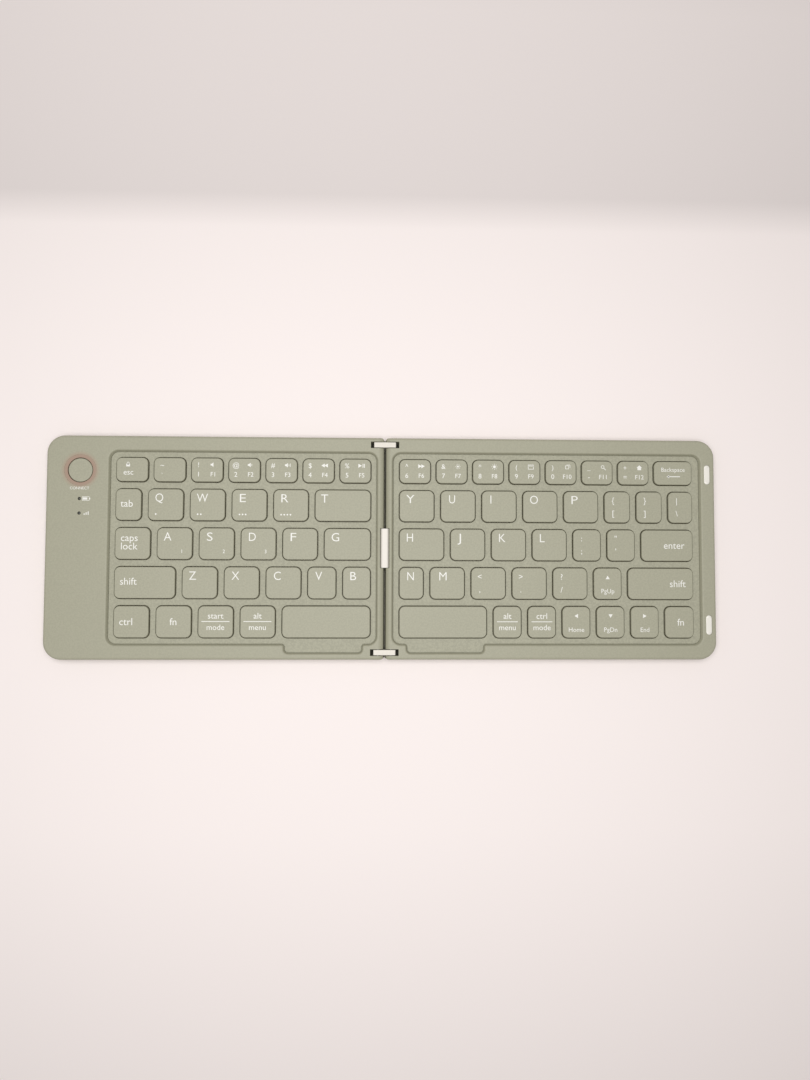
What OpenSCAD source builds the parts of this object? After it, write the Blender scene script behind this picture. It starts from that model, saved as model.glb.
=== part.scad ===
// Slim folding keyboard, open and flat: two halves on a two-pivot link hinge.
// X runs along the keyboard, Y to the rear and Z up. The origin is on the hinge
// centre line, half way between the front and rear edges, at the bottom of the feet.

/* [Case] */
// Width of one half, from the hinge centre line to its outer edge
half_width = 153.2; // [152:0.1:156]
// Depth from the front edge to the rear edge
depth = 101.5; // [101:0.1:102.4]
// Height of the rim above the table
case_height = 7.0; // [7:0.1:7.4]
// Plan radius of the outer corners
corner_r = 8; // [6:0.5:9]
// Plan radius of the corners beside the hinge gap
hinge_corner_r = 1.2; // [0.6:0.1:1.4]
// Thickness of the side walls
wall = 1.35; // [1.2:0.05:1.4]
// Thickness of the bottom covers
cover_t = 1.0; // [0.9:0.1:1.1]
// Height of the feet below the bottom covers
foot_h = 0.6; // [0.5:0.1:0.7]

/* [Key deck] */
// Depth of the deck's surface below the rim
deck_drop = 1.6; // [1.5:0.1:1.7]
// Thickness of the deck plates
deck_t = 0.9; // [0.8:0.1:1]
// Distance from the hinge centre line to the recess
recess_near = 3.5; // [3.4:0.1:4]
// Distance from the hinge centre line to the far end of the left recess
recess_far_left = 125.2; // [125:0.1:126]
// Distance from the hinge centre line to the far end of the right recess
recess_far_right = 146.6; // [146.4:0.1:147]
// Plan radius of the recess corners
recess_r = 4; // [3:0.5:5]

/* [Keys] */
// Width of a letter key's opening
letter_w = 16.4; // [16.2:0.1:16.5]
// Width of a number key's opening
number_w = 14.9; // [14.7:0.1:15]
// Width of a small key's opening
small_w = 13.4; // [13.2:0.1:13.5]
// Width of a narrow key's opening
narrow_w = 12.1; // [11.9:0.1:12.2]
// Width of the left shift key's opening
left_shift_w = 27.9; // [27:0.1:28]
// Width of the right top row's letter openings
top_letter_w = 16.5; // [16.3:0.1:16.6]
// Width of a bracket key's opening
bracket_w = 12.4; // [12:0.1:12.5]
// Width of the H key's opening
h_key_w = 21.0; // [20.8:0.1:21.3]
// Width of the N key's opening
n_key_w = 11.6; // [11.5:0.1:12]
// Width of the right space key's opening
right_space_w = 40.7; // [40:0.1:41]
// Depth of a key's opening
key_d = 15.0; // [14.8:0.1:15.1]
// Depth of a number key's opening
number_d = 11.6; // [11.4:0.1:11.7]
// Web of deck between two openings in a row
web = 2.5; // [2.4:0.1:2.6]
// Web of deck between two number keys' openings
number_web = 2.0; // [1.9:0.1:2.1]
// Spacing of the letter rows
row_pitch = 17.7; // [17.6:0.05:17.8]
// Plan radius of a key's opening
key_r = 2.8; // [2.6:0.1:3]
// Air gap between a keycap and its opening
key_gap = 0.4; // [0.35:0.05:0.45]
// Depth of the key tops below the rim
key_drop = 0.5; // [0.4:0.1:0.6]
// Bevel round the key tops
key_bevel = 0.3; // [0.2:0.05:0.4]

/* [Hinge] */
// Distance of each pivot from the hinge centre line
pivot_x = 3.0; // [3:0.05:3.1]
// Height of the pivots above the table
pivot_z = 4.25; // [4.25:0.01:4.3]
// Half of the air gap between the two top frames
gap_half = 0.55; // [0.5:0.05:0.6]
// Half of the air gap between the lips of the two bottom covers
lip_gap_half = 0.15; // [0.15:0.05:0.3]
// Diameter of the hinge pins
pin_d = 1.5; // [1.4:0.1:1.6]
// Distance of each link's middle from the front or rear edge
link_inset = 3.25; // [3.2:0.05:3.3]
// Width of a link along Y
link_y = 2.4; // [2.3:0.1:2.5]
// Half of a link's length along X
link_half = 5.05; // [5:0.05:5.1]
// Width of the flat cable that crosses the gap
cable_y = 17.9; // [17:0.1:18]

/* [Panel] */
// Diameter of the connect button
button_d = 10.8; // [10.6:0.1:11]
// Diameter of an indicator lens
lens_d = 1.4; // [1.2:0.1:1.6]
// Width of a closing magnet
magnet_w = 2.7; // [2.6:0.1:2.8]
// Length of a closing magnet
magnet_l = 9; // [8.6:0.1:9.2]

/* [Hidden] */
$fn = 48;
LEFT = -1;
RIGHT = 1;
case_colour = [0.66, 0.65, 0.56];
deck_colour = [0.6, 0.59, 0.5];
key_colour = [0.68, 0.67, 0.58];
metal_colour = [0.86, 0.85, 0.83];
steel_colour = [0.62, 0.63, 0.65];
rubber_colour = [0.25, 0.25, 0.24];
board_colour = [0.1, 0.35, 0.2];
past = 0.1;

// Heights of the layers, from the table up
seam_z = foot_h + cover_t;
plate_t = 0.4;
plate_top = seam_z + plate_t;
membrane_t = 0.2;
membrane_top = plate_top + membrane_t;
deck_top = case_height - deck_drop;
deck_low = deck_top - deck_t;
key_top = case_height - key_drop;
skirt_z = deck_low + 0.15;
cap_ceiling = key_top - 1.3;

// Places along Y
half_depth = depth / 2;
recess_rear = half_depth - 6.75;
recess_front = -half_depth + 6.65;
deck_lap = 0.35;
tab_near = 10;
tab_far = 45.7;
tab_front = -half_depth + 2.75;
tab_r = 2;
home_y = 1.7;
number_y = 35.4;

// Widths of the openings in each row, from left to right. 0 fills the row up.
left_start = -122.4;
left_zone = 116.2;
right_start = 6.4;
right_zone = 136.6;
left_rows = [
    [number_w, number_w, number_w, number_w, number_w, number_w, 0],
    [narrow_w, letter_w, letter_w, letter_w, letter_w, 0],
    [letter_w, letter_w, letter_w, letter_w, letter_w, 0],
    [left_shift_w, letter_w, letter_w, letter_w, small_w, 0],
    [letter_w, letter_w, letter_w, letter_w, 0]
];
right_rows = [
    [number_w, number_w, number_w, number_w, number_w, number_w, number_w, 0],
    [top_letter_w, top_letter_w, top_letter_w, top_letter_w, top_letter_w, bracket_w, bracket_w, 0],
    [h_key_w, letter_w, letter_w, letter_w, small_w, small_w, 0],
    [n_key_w, letter_w, letter_w, letter_w, letter_w, small_w, 0],
    [right_space_w, small_w, small_w, small_w, small_w, small_w, 0]
];
row_y = [number_y, home_y + row_pitch, home_y, home_y - row_pitch, home_y - 2 * row_pitch];

// Hinge
edge_r = case_height - pivot_z;
link_low = pivot_z - 1.5;
link_mid_y = half_depth - link_inset;
slot_y = link_y + 0.6;
slot_end = 6.5;
pin_play = 0.03;
bracket_end = 8.8;
bracket_y = 1.1;
bracket_top = case_height - 1;
knuckle_r = 1.75;
block_end = 9.5;
block_y = recess_rear + deck_lap + 0.05;
hinge_wall_end = recess_near - 0.65;
pin_in = slot_y / 2 + bracket_y - 0.05;
pin_out = slot_y / 2 + 0.7;
cable_t = 0.3;
cable_half = 1.9;
cable_top = case_height - 0.4;
cable_foot = 5.4;
cable_round = 1.1;
notch_half = 2.1;
notch_y = cable_y + 0.3;
window_top = 2.95;

// Fixings under the case
screw_d = 1.6;
screw_head_d = 3.4;
screw_head_h = 0.5;
screw_top = 4.6;
boss_d = 4;
boss_y = half_depth - 3.45;
left_screws = [[20, 1], [72, 1], [146, 1], [56, -1], [100, -1], [146, -1]];
right_screws = [[20, 1], [80, 1], [138, 1], [56, -1], [98, -1], [138, -1]];
foot_w = 5;
foot_l = 20;
foot_sink = 0.3;
foot_near = 24;
foot_far = 136;
foot_y = 43;

// Panel on the left half, measured from the hinge centre line
button_u = 138;
button_y = 34.9;
ring_outer = 7.15;
ring_inner = button_d / 2 + 0.25;
ring_flange = 8.2;
lens_u = 138.2;
lens_ys = [21.9, 15.3];
magnet_u = 149.7;
magnet_ys = [34.7, -34.9];
magnet_t = 1.25;
socket_y = 24;
socket_w = 8.94;
socket_h = 3.16;
socket_l = 7.2;
socket_wall = 0.3;
board_t = 0.6;
board_near = 128.4;
board_far = 151.5;
board_low_y = 6;
board_high_y = 42;

// Key places

function listed_w(row, n) = n <= 0 ? 0 : row[n - 1] + listed_w(row, n - 1);
function web_of(r) = r == 0 ? number_web : web;
function opening_w(side, r, i) =
    let (row = rows_of(side)[r], last = len(row) - 1)
    i < last ? row[i] : zone_of(side) - web_of(r) * last - listed_w(row, last);
function opening_x(side, r, i) = start_of(side) + listed_w(rows_of(side)[r], i) + i * web_of(r);
function rows_of(side) = side < 0 ? left_rows : right_rows;
function start_of(side) = side < 0 ? left_start : right_start;
function zone_of(side) = side < 0 ? left_zone : right_zone;
function depth_of(r) = r == 0 ? number_d : key_d;
function middle_x(side, r, i) = opening_x(side, r, i) + opening_w(side, r, i) / 2;
function recess_far(side) = side < 0 ? recess_far_left : recess_far_right;
function screws_of(side) = side < 0 ? left_screws : right_screws;

// Plain helpers

module on_side(side) {
    if (side < 0) mirror([1, 0, 0]) children();
    else children();
}

module along_y(length) {
    translate([0, length / 2, 0]) rotate([90, 0, 0]) linear_extrude(length) children();
}

module rounded_square(w, d, r) {
    translate([r, 0]) square([w - 2 * r, d]);
    translate([0, r]) square([w, d - 2 * r]);
    for (x = [r, w - r], y = [r, d - r]) translate([x, y]) circle(r);
}

module obround(w, l) {
    square([w, l - w], center = true);
    for (end = [-1, 1]) translate([0, end * (l - w) / 2]) circle(d = w);
}

module for_each_key(side) {
    rows = rows_of(side);
    for (r = [0 : len(rows) - 1], i = [0 : len(rows[r]) - 1])
        translate([middle_x(side, r, i), row_y[r], 0]) {
            $row = r;
            children();
        }
}

// Plan shapes of one half, measured from the hinge centre line

module half_outline(near_edge) {
    far_x = half_width - corner_r;
    far_y = half_depth - corner_r;
    near_x = near_edge + hinge_corner_r;
    near_y = half_depth - hinge_corner_r;
    translate([near_x, -half_depth]) square([far_x - near_x, depth]);
    translate([near_edge, -near_y]) square([far_x - near_edge, 2 * near_y]);
    translate([far_x - 1, -far_y]) square([corner_r + 1, 2 * far_y]);
    for (s = [-1, 1]) {
        translate([far_x, s * far_y]) circle(corner_r);
        translate([near_x, s * near_y]) circle(hinge_corner_r);
    }
}

module recess_plan(side) {
    translate([recess_near, recess_front])
        rounded_square(recess_far(side) - recess_near, recess_rear - recess_front, recess_r);
    translate([tab_near, tab_front])
        rounded_square(tab_far - tab_near, 2 * (recess_front - tab_front), tab_r);
}

module deck_plan(side) {
    near = hinge_wall_end + 0.05;
    far = recess_far(side) + 0.8;
    low = recess_front - deck_lap;
    high = recess_rear + deck_lap;
    translate([near, low]) square([far - near, high - low]);
    translate([tab_near - 0.4, tab_front - 0.7])
        square([tab_far - tab_near + 1, low - tab_front + 1]);
}

module cavity_plan(side) {
    inner_y = half_depth - wall;
    inner_r = corner_r - wall;
    far_x = half_width - corner_r;
    far_y = half_depth - corner_r;
    difference() {
        union() {
            translate([hinge_wall_end, -inner_y]) square([far_x - hinge_wall_end, 2 * inner_y]);
            translate([far_x - 1, -far_y]) square([inner_r + 1, 2 * far_y]);
            for (s = [-1, 1]) translate([far_x, s * far_y]) circle(inner_r);
        }
        for (s = [0, 1]) mirror([0, s]) square_block();
        for (p = screws_of(side)) translate([p[0], p[1] * boss_y]) circle(d = boss_d);
    }
}

module square_block() {
    translate([0, block_y]) square([block_end, half_depth - block_y]);
}

// Case parts

module hinge_edge_cut() {
    difference() {
        translate([0, -half_depth - 1, pivot_z]) cube([pivot_x, depth + 2, edge_r + 1]);
        translate([pivot_x, 0, pivot_z]) along_y(depth + 4) circle(edge_r);
    }
}

module bracket_pocket() {
    play = 0.05;
    translate([pivot_x, 0, pivot_z]) along_y(bracket_y + 0.1) circle(knuckle_r + play);
    translate([pivot_x - knuckle_r - play, -bracket_y / 2 - play, seam_z - past])
        cube([knuckle_r + play, bracket_y + 0.1, pivot_z - seam_z + past]);
    translate([pivot_x, -bracket_y / 2 - play, seam_z - past])
        cube([bracket_end - pivot_x + play, bracket_y + 0.1, bracket_top + play - seam_z + past]);
}

module hinge_corner_cuts() {
    bracket_mid = link_mid_y - slot_y / 2 - bracket_y / 2 + 0.05;
    for (s = [0, 1]) mirror([0, s, 0]) {
        translate([0, link_mid_y - slot_y / 2, seam_z - past])
            cube([slot_end, slot_y, case_height]);
        translate([pivot_x, link_mid_y + slot_y / 2 + 0.3, pivot_z])
            along_y(0.9) circle(pin_d / 2 + pin_play);
        translate([0, bracket_mid, 0]) bracket_pocket();
    }
}

module cable_cuts() {
    translate([-past, -notch_y / 2, seam_z - past])
        cube([notch_half + past, notch_y, case_height]);
    translate([notch_half - past, -notch_y / 2, plate_top])
        cube([hinge_wall_end - notch_half + 2 * past, notch_y, window_top - plate_top]);
}

module panel_cuts() {
    translate([button_u, button_y, deck_top - past])
        cylinder(r = ring_outer + 0.05, h = deck_drop + 1);
    for (y = lens_ys) translate([lens_u, y, deck_top - past])
        cylinder(d = lens_d + 0.1, h = deck_drop + 1);
    translate([half_width - wall - 0.3, socket_y, seam_z + board_t + socket_h / 2])
        rotate([90, 0, 90]) linear_extrude(wall + 1) rotate(90)
            obround(socket_h + 0.3, socket_w + 0.3);
}

module hidden_magnet_blocks() {
    for (y = magnet_ys) translate([magnet_u, y, 0]) difference() {
        translate([-2, -magnet_l / 2 - 0.8, deck_top - magnet_t - 0.5])
            cube([half_width - magnet_u, magnet_l + 1.6, magnet_t + 1]);
        translate([0, 0, deck_top - magnet_t - 1])
            linear_extrude(magnet_t + 1) obround(magnet_w + 0.06, magnet_l + 0.06);
    }
}

module top_frame(side) {
    on_side(side) difference() {
        translate([0, 0, seam_z]) linear_extrude(case_height - seam_z) half_outline(gap_half);
        hinge_edge_cut();
        translate([0, 0, deck_top - past]) linear_extrude(deck_drop + 1) recess_plan(side);
        difference() {
            translate([0, 0, seam_z - past])
                linear_extrude(deck_top - seam_z + past) cavity_plan(side);
            if (side < 0) hidden_magnet_blocks();
        }
        hinge_corner_cuts();
        cable_cuts();
        for (p = screws_of(side)) translate([p[0], p[1] * boss_y, seam_z - past])
            cylinder(d = screw_d + 0.1, h = screw_top - seam_z + 0.3);
        if (side < 0) panel_cuts();
        else for (y = magnet_ys)
            translate([magnet_u, y, case_height - magnet_t - 0.05])
                linear_extrude(magnet_t + 1) obround(magnet_w + 0.06, magnet_l + 0.06);
    }
}

module left_top_frame() { color(case_colour) top_frame(LEFT); }
module right_top_frame() { color(case_colour) top_frame(RIGHT); }

module foot_places() {
    for (x = [foot_near, foot_far], y = [-foot_y, foot_y]) translate([x, y, 0]) rotate(90) children();
}

module bottom_cover(side) {
    on_side(side) difference() {
        translate([0, 0, foot_h]) linear_extrude(cover_t) half_outline(lip_gap_half);
        foot_places() translate([0, 0, -past])
            linear_extrude(foot_h + foot_sink + past) obround(foot_w + 0.1, foot_l + 0.1);
        for (p = screws_of(side)) translate([p[0], p[1] * boss_y, 0]) {
            cylinder(d = screw_head_d + 0.2, h = foot_h + screw_head_h + 0.05);
            cylinder(d = screw_d + 0.2, h = seam_z + past);
        }
    }
}

module left_bottom_cover() { color(case_colour) bottom_cover(LEFT); }
module right_bottom_cover() { color(case_colour) bottom_cover(RIGHT); }

module key_deck(side) {
    translate([0, 0, deck_low]) linear_extrude(deck_t) difference() {
        on_side(side) deck_plan(side);
        key_openings(side);
    }
}

module key_openings(side) {
    rows = rows_of(side);
    for (r = [0 : len(rows) - 1], i = [0 : len(rows[r]) - 1])
        translate([opening_x(side, r, i), row_y[r] - depth_of(r) / 2])
            rounded_square(opening_w(side, r, i), depth_of(r), key_r);
}

module left_key_deck() { color(deck_colour) key_deck(LEFT); }
module right_key_deck() { color(deck_colour) key_deck(RIGHT); }

module feet(side) {
    on_side(side) foot_places() linear_extrude(foot_h + foot_sink) obround(foot_w, foot_l);
}

module left_feet() { color(rubber_colour) feet(LEFT); }
module right_feet() { color(rubber_colour) feet(RIGHT); }

module case_screws(side) {
    on_side(side) for (p = screws_of(side)) translate([p[0], p[1] * boss_y, foot_h + 0.05])
        difference() {
            union() {
                cylinder(d = screw_head_d, h = screw_head_h);
                cylinder(d = screw_d, h = screw_top - foot_h - 0.05);
            }
            cross_recess();
        }
}

module cross_recess() {
    for (a = [0, 90]) rotate(a) cube([2, 0.4, 0.6], center = true);
}

module left_case_screws() { color(steel_colour) case_screws(LEFT); }
module right_case_screws() { color(steel_colour) case_screws(RIGHT); }

// Under the keys

module key_plate(side) {
    near = recess_near + 0.5;
    far = recess_far(side) - 0.5;
    on_side(side) translate([near, recess_front + 0.6, seam_z])
        cube([far - near, recess_rear - recess_front - 1.2, plate_t]);
}

module left_key_plate() { color(steel_colour) key_plate(LEFT); }
module right_key_plate() { color(steel_colour) key_plate(RIGHT); }

module key_membrane(side) {
    near = recess_near + 1;
    far = recess_far(side) - 1;
    on_side(side) translate([0, 0, plate_top]) {
        translate([near, recess_front + 1, 0])
            cube([far - near, recess_rear - recess_front - 2, membrane_t]);
        if (side < 0) translate([far - 1, 10, 0]) cube([board_near - far + 0.95, 12, membrane_t]);
    }
}

module left_key_membrane() { color([0.82, 0.85, 0.86]) key_membrane(LEFT); }
module right_key_membrane() { color([0.82, 0.85, 0.86]) key_membrane(RIGHT); }

module dome() {
    flange_t = 0.3;
    nub_t = 0.3;
    cone_h = cap_ceiling - 0.05 - membrane_top - flange_t - nub_t;
    translate([0, 0, membrane_top]) cylinder(r = 2.3, h = flange_t);
    translate([0, 0, membrane_top + flange_t]) cylinder(r1 = 1.9, r2 = 1.2, h = cone_h);
    translate([0, 0, membrane_top + flange_t + cone_h]) cylinder(r = 0.9, h = nub_t);
}

module left_rubber_domes() { color([0.9, 0.9, 0.88]) for_each_key(LEFT) dome(); }
module right_rubber_domes() { color([0.9, 0.9, 0.88]) for_each_key(RIGHT) dome(); }

// Two crossing frames: the outer one leans one way and the inner one the other
module scissor(reach) {
    leg_l = 8.4;
    leg_w = 0.7;
    leg_t = 0.6;
    low = membrane_top + 0.1;
    high = cap_ceiling - 0.1;
    lean = asin((high - low - leg_t) / leg_l);
    for (frame = [0, 1]) {
        half = reach / 2 - frame * (leg_w + 0.2);
        translate([0, 0, (low + high) / 2]) rotate([0, frame == 0 ? lean : -lean, 0]) {
            for (s = [-1, 1]) translate([0, s * (half - leg_w / 2), 0])
                cube([leg_l, leg_w, leg_t], center = true);
            translate([(leg_l - leg_w) / 2, 0, 0]) cube([leg_w, 2 * half, leg_t], center = true);
        }
    }
}

module scissors(side) { for_each_key(side) scissor($row == 0 ? 8 : 10.4); }
module left_scissor_links() { color([0.93, 0.93, 0.9]) scissors(LEFT); }
module right_scissor_links() { color([0.93, 0.93, 0.9]) scissors(RIGHT); }

// Keycaps

// Block with rounded plan corners and a bevel round its top, centred in plan
module bevelled_block(w, d, h, r, bevel) {
    side_h = h - bevel;
    linear_extrude(side_h) translate([-w / 2, -d / 2]) rounded_square(w, d, r);
    translate([0, 0, side_h]) {
        for (sx = [-1, 1], sy = [-1, 1]) translate([sx * (w / 2 - r), sy * (d / 2 - r), 0])
            cylinder(r1 = r, r2 = r - bevel, h = bevel);
        along_y(d - 2 * r)
            polygon([[-w / 2, 0], [w / 2, 0], [w / 2 - bevel, bevel], [bevel - w / 2, bevel]]);
        rotate(90) along_y(w - 2 * r)
            polygon([[-d / 2, 0], [d / 2, 0], [d / 2 - bevel, bevel], [bevel - d / 2, bevel]]);
    }
}

module keycap(w, d) {
    cap_w = w - 2 * key_gap;
    cap_d = d - 2 * key_gap;
    skirt = 1;
    translate([0, 0, skirt_z]) difference() {
        bevelled_block(cap_w, cap_d, key_top - skirt_z, key_r - key_gap, key_bevel);
        translate([skirt - cap_w / 2, skirt - cap_d / 2, -past])
            cube([cap_w - 2 * skirt, cap_d - 2 * skirt, cap_ceiling - skirt_z + past]);
    }
}

module keycaps(side, r, first, last) {
    color(key_colour) for (i = [first : last]) translate([middle_x(side, r, i), row_y[r], 0])
        keycap(opening_w(side, r, i), depth_of(r));
}

module left_number_keys() { keycaps(LEFT, 0, 0, 6); }
module tab_key() { keycaps(LEFT, 1, 0, 0); }
module left_top_row_keys() { keycaps(LEFT, 1, 1, 5); }
module caps_lock_key() { keycaps(LEFT, 2, 0, 0); }
module left_home_row_keys() { keycaps(LEFT, 2, 1, 5); }
module left_shift_key() { keycaps(LEFT, 3, 0, 0); }
module left_bottom_row_keys() { keycaps(LEFT, 3, 1, 5); }
module left_ctrl_key() { keycaps(LEFT, 4, 0, 0); }
module left_fn_key() { keycaps(LEFT, 4, 1, 1); }
module start_key() { keycaps(LEFT, 4, 2, 2); }
module left_alt_key() { keycaps(LEFT, 4, 3, 3); }
module left_space_key() { keycaps(LEFT, 4, 4, 4); }
module right_number_keys() { keycaps(RIGHT, 0, 0, 6); }
module backspace_key() { keycaps(RIGHT, 0, 7, 7); }
module right_top_row_keys() { keycaps(RIGHT, 1, 0, 4); }
module right_bracket_keys() { keycaps(RIGHT, 1, 5, 7); }
module right_home_row_keys() { keycaps(RIGHT, 2, 0, 5); }
module enter_key() { keycaps(RIGHT, 2, 6, 6); }
module right_bottom_row_keys() { keycaps(RIGHT, 3, 0, 4); }
module up_arrow_key() { keycaps(RIGHT, 3, 5, 5); }
module right_shift_key() { keycaps(RIGHT, 3, 6, 6); }
module right_space_key() { keycaps(RIGHT, 4, 0, 0); }
module right_alt_key() { keycaps(RIGHT, 4, 1, 1); }
module right_ctrl_key() { keycaps(RIGHT, 4, 2, 2); }
module left_arrow_key() { keycaps(RIGHT, 4, 3, 3); }
module down_arrow_key() { keycaps(RIGHT, 4, 4, 4); }
module right_arrow_key() { keycaps(RIGHT, 4, 5, 5); }
module right_fn_key() { keycaps(RIGHT, 4, 6, 6); }

// Hinge parts

module hinge_link() {
    low_r = 1;
    top_r = 0.3;
    height = case_height - link_low;
    along_y(link_y) difference() {
        union() {
            translate([-link_half, link_low + low_r]) square([2 * link_half, height - low_r - top_r]);
            translate([low_r - link_half, link_low]) square([2 * (link_half - low_r), low_r]);
            translate([top_r - link_half, case_height - top_r])
                square([2 * (link_half - top_r), top_r]);
            for (s = [-1, 1]) {
                translate([s * (link_half - low_r), link_low + low_r]) circle(low_r);
                translate([s * (link_half - top_r), case_height - top_r]) circle(top_r);
            }
        }
        for (s = [-1, 1]) translate([s * pivot_x, pivot_z]) circle(pin_d / 2 + 0.01);
    }
}

module rear_hinge_link() { color(metal_colour) translate([0, link_mid_y, 0]) hinge_link(); }
module front_hinge_link() { color(metal_colour) translate([0, -link_mid_y, 0]) hinge_link(); }

module hinge_pins() {
    color(steel_colour) for (sx = [-1, 1], sy = [0, 1]) mirror([0, sy, 0])
        translate([sx * pivot_x, link_mid_y - pin_in, pivot_z])
            rotate([-90, 0, 0]) cylinder(d = pin_d, h = pin_in + pin_out);
}

module hinge_brackets(side) {
    middle = link_mid_y - slot_y / 2 - bracket_y / 2;
    on_side(side) for (s = [0, 1]) mirror([0, s, 0]) translate([0, middle, 0]) difference() {
        union() {
            translate([pivot_x, 0, pivot_z]) along_y(bracket_y) circle(knuckle_r);
            translate([pivot_x, -bracket_y / 2, seam_z])
                cube([bracket_end - pivot_x, bracket_y, bracket_top - seam_z]);
        }
        translate([pivot_x, 0, pivot_z]) along_y(bracket_y + 1) circle(pin_d / 2 + pin_play);
    }
}

module left_hinge_brackets() { color(steel_colour) hinge_brackets(LEFT); }
module right_hinge_brackets() { color(steel_colour) hinge_brackets(RIGHT); }

// Flat cable: it arches up between the notches and runs out under both decks
module arch_profile(half, top, r) {
    foot = membrane_top + 0.05;
    translate([-half, foot]) square([2 * half, top - foot - r]);
    translate([r - half, foot]) square([2 * (half - r), top - foot]);
    for (s = [-1, 1]) translate([s * (half - r), top - r]) circle(r);
}

module flex_cable() {
    foot = membrane_top + 0.05;
    color(metal_colour) along_y(cable_y) {
        difference() {
            arch_profile(cable_half, cable_top, cable_round);
            translate([0, -past])
                arch_profile(cable_half - cable_t, cable_top - cable_t + past, cable_round - cable_t);
        }
        for (s = [-1, 1])
            translate([s * (cable_foot + cable_half - cable_t) / 2, foot + cable_t / 2])
                square([cable_foot - cable_half + cable_t, cable_t], center = true);
    }
}

// Panel parts

module magnets(low, u_side) {
    on_side(u_side) for (y = magnet_ys) translate([magnet_u, y, low])
        linear_extrude(magnet_t - 0.05) obround(magnet_w, magnet_l);
}

module left_magnets() { color(metal_colour) magnets(deck_top - magnet_t, LEFT); }
module right_magnets() { color(metal_colour) magnets(case_height - magnet_t, RIGHT); }

module button_light_ring() {
    flange_t = 0.45;
    color([0.85, 0.35, 0.33]) translate([-button_u, button_y, 0]) rotate_extrude() {
        translate([ring_inner, deck_top - flange_t])
            square([ring_flange - ring_inner, flange_t]);
        translate([ring_inner, deck_top])
            square([ring_outer - ring_inner, deck_drop - 0.05]);
    }
}

module connect_button() {
    flange_low = 4.45;
    flange_high = 4.85;
    stem_low = 4.15;
    color(case_colour) translate([-button_u, button_y, 0]) {
        translate([0, 0, flange_high - past])
            cylinder(d = button_d, h = case_height - 0.1 - flange_high + past);
        translate([0, 0, flange_low]) cylinder(d = button_d + 2, h = flange_high - flange_low);
        translate([0, 0, stem_low]) cylinder(d = 3, h = 0.5);
    }
}

module indicator_lenses() {
    color([0.2, 0.2, 0.2]) for (y = lens_ys) translate([-lens_u, y, deck_top - 0.4]) {
        cylinder(d = lens_d, h = deck_drop + 0.35);
        cylinder(d = lens_d + 0.8, h = 0.4);
    }
}

module circuit_board() {
    top = seam_z + board_t;
    color(board_colour) on_side(LEFT) {
        translate([board_near, board_low_y, seam_z])
            cube([board_far - board_near, board_high_y - board_low_y, board_t]);
        translate([button_u - 3, button_y - 3, top - past]) cube([6, 6, 1.2]);
        translate([button_u, button_y, top]) cylinder(d = 3.2, h = 1.5);
        for (y = lens_ys) translate([lens_u - 0.8, y - 0.5, top - past]) cube([1.6, 1, 0.8]);
        translate([board_near + 2, 13, top - past]) cube([6, 6, 1]);
        translate([board_near + 2, 25, top - past]) cube([3.2, 2.5, 1]);
        translate([board_near + 15, 9, top - past]) cube([5, 4, 1.1]);
    }
}

module charging_socket() {
    tongue_w = 6.6;
    tongue_t = 0.7;
    tongue_l = 4.6;
    mouth_x = half_width - 0.15;
    middle_z = seam_z + board_t + socket_h / 2;
    color(steel_colour) on_side(LEFT) translate([mouth_x - socket_l, socket_y, middle_z])
        rotate([90, 0, 90]) {
            difference() {
                linear_extrude(socket_l) rotate(90) obround(socket_h, socket_w);
                translate([0, 0, 1]) linear_extrude(socket_l) rotate(90)
                    obround(socket_h - 2 * socket_wall, socket_w - 2 * socket_wall);
            }
            translate([-tongue_w / 2, -tongue_t / 2, 0.5])
                cube([tongue_w, tongue_t, 0.5 + tongue_l]);
        }
}

module battery() {
    near = 128.5;
    battery_w = 19;
    battery_l = 46;
    battery_t = 3.2;
    color([0.75, 0.76, 0.78]) on_side(LEFT) translate([near, -battery_l + 2, seam_z])
        cube([battery_w, battery_l, battery_t]);
}

left_bottom_cover();
left_top_frame();
left_key_deck();
left_key_plate();
left_key_membrane();
left_rubber_domes();
left_scissor_links();
battery();
circuit_board();
charging_socket();
indicator_lenses();
button_light_ring();
left_hinge_brackets();
left_magnets();
left_case_screws();
left_feet();
rear_hinge_link();
front_hinge_link();
hinge_pins();
flex_cable();
right_bottom_cover();
right_top_frame();
right_key_deck();
right_key_plate();
right_key_membrane();
right_rubber_domes();
right_scissor_links();
right_hinge_brackets();
right_magnets();
right_case_screws();
right_feet();
connect_button();
left_number_keys();
tab_key();
left_top_row_keys();
caps_lock_key();
left_home_row_keys();
left_shift_key();
left_bottom_row_keys();
left_ctrl_key();
left_fn_key();
start_key();
left_alt_key();
left_space_key();
right_number_keys();
backspace_key();
right_top_row_keys();
right_bracket_keys();
right_home_row_keys();
enter_key();
right_bottom_row_keys();
up_arrow_key();
right_shift_key();
right_space_key();
right_alt_key();
right_ctrl_key();
left_arrow_key();
down_arrow_key();
right_arrow_key();
right_fn_key();
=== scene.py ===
"""A slim folding keyboard, open on white paper: the finish of each part, in the order of assembly."""

import math

import bmesh
import bpy
from mathutils import Matrix, Vector
from mathutils.geometry import tessellate_polygon


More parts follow.
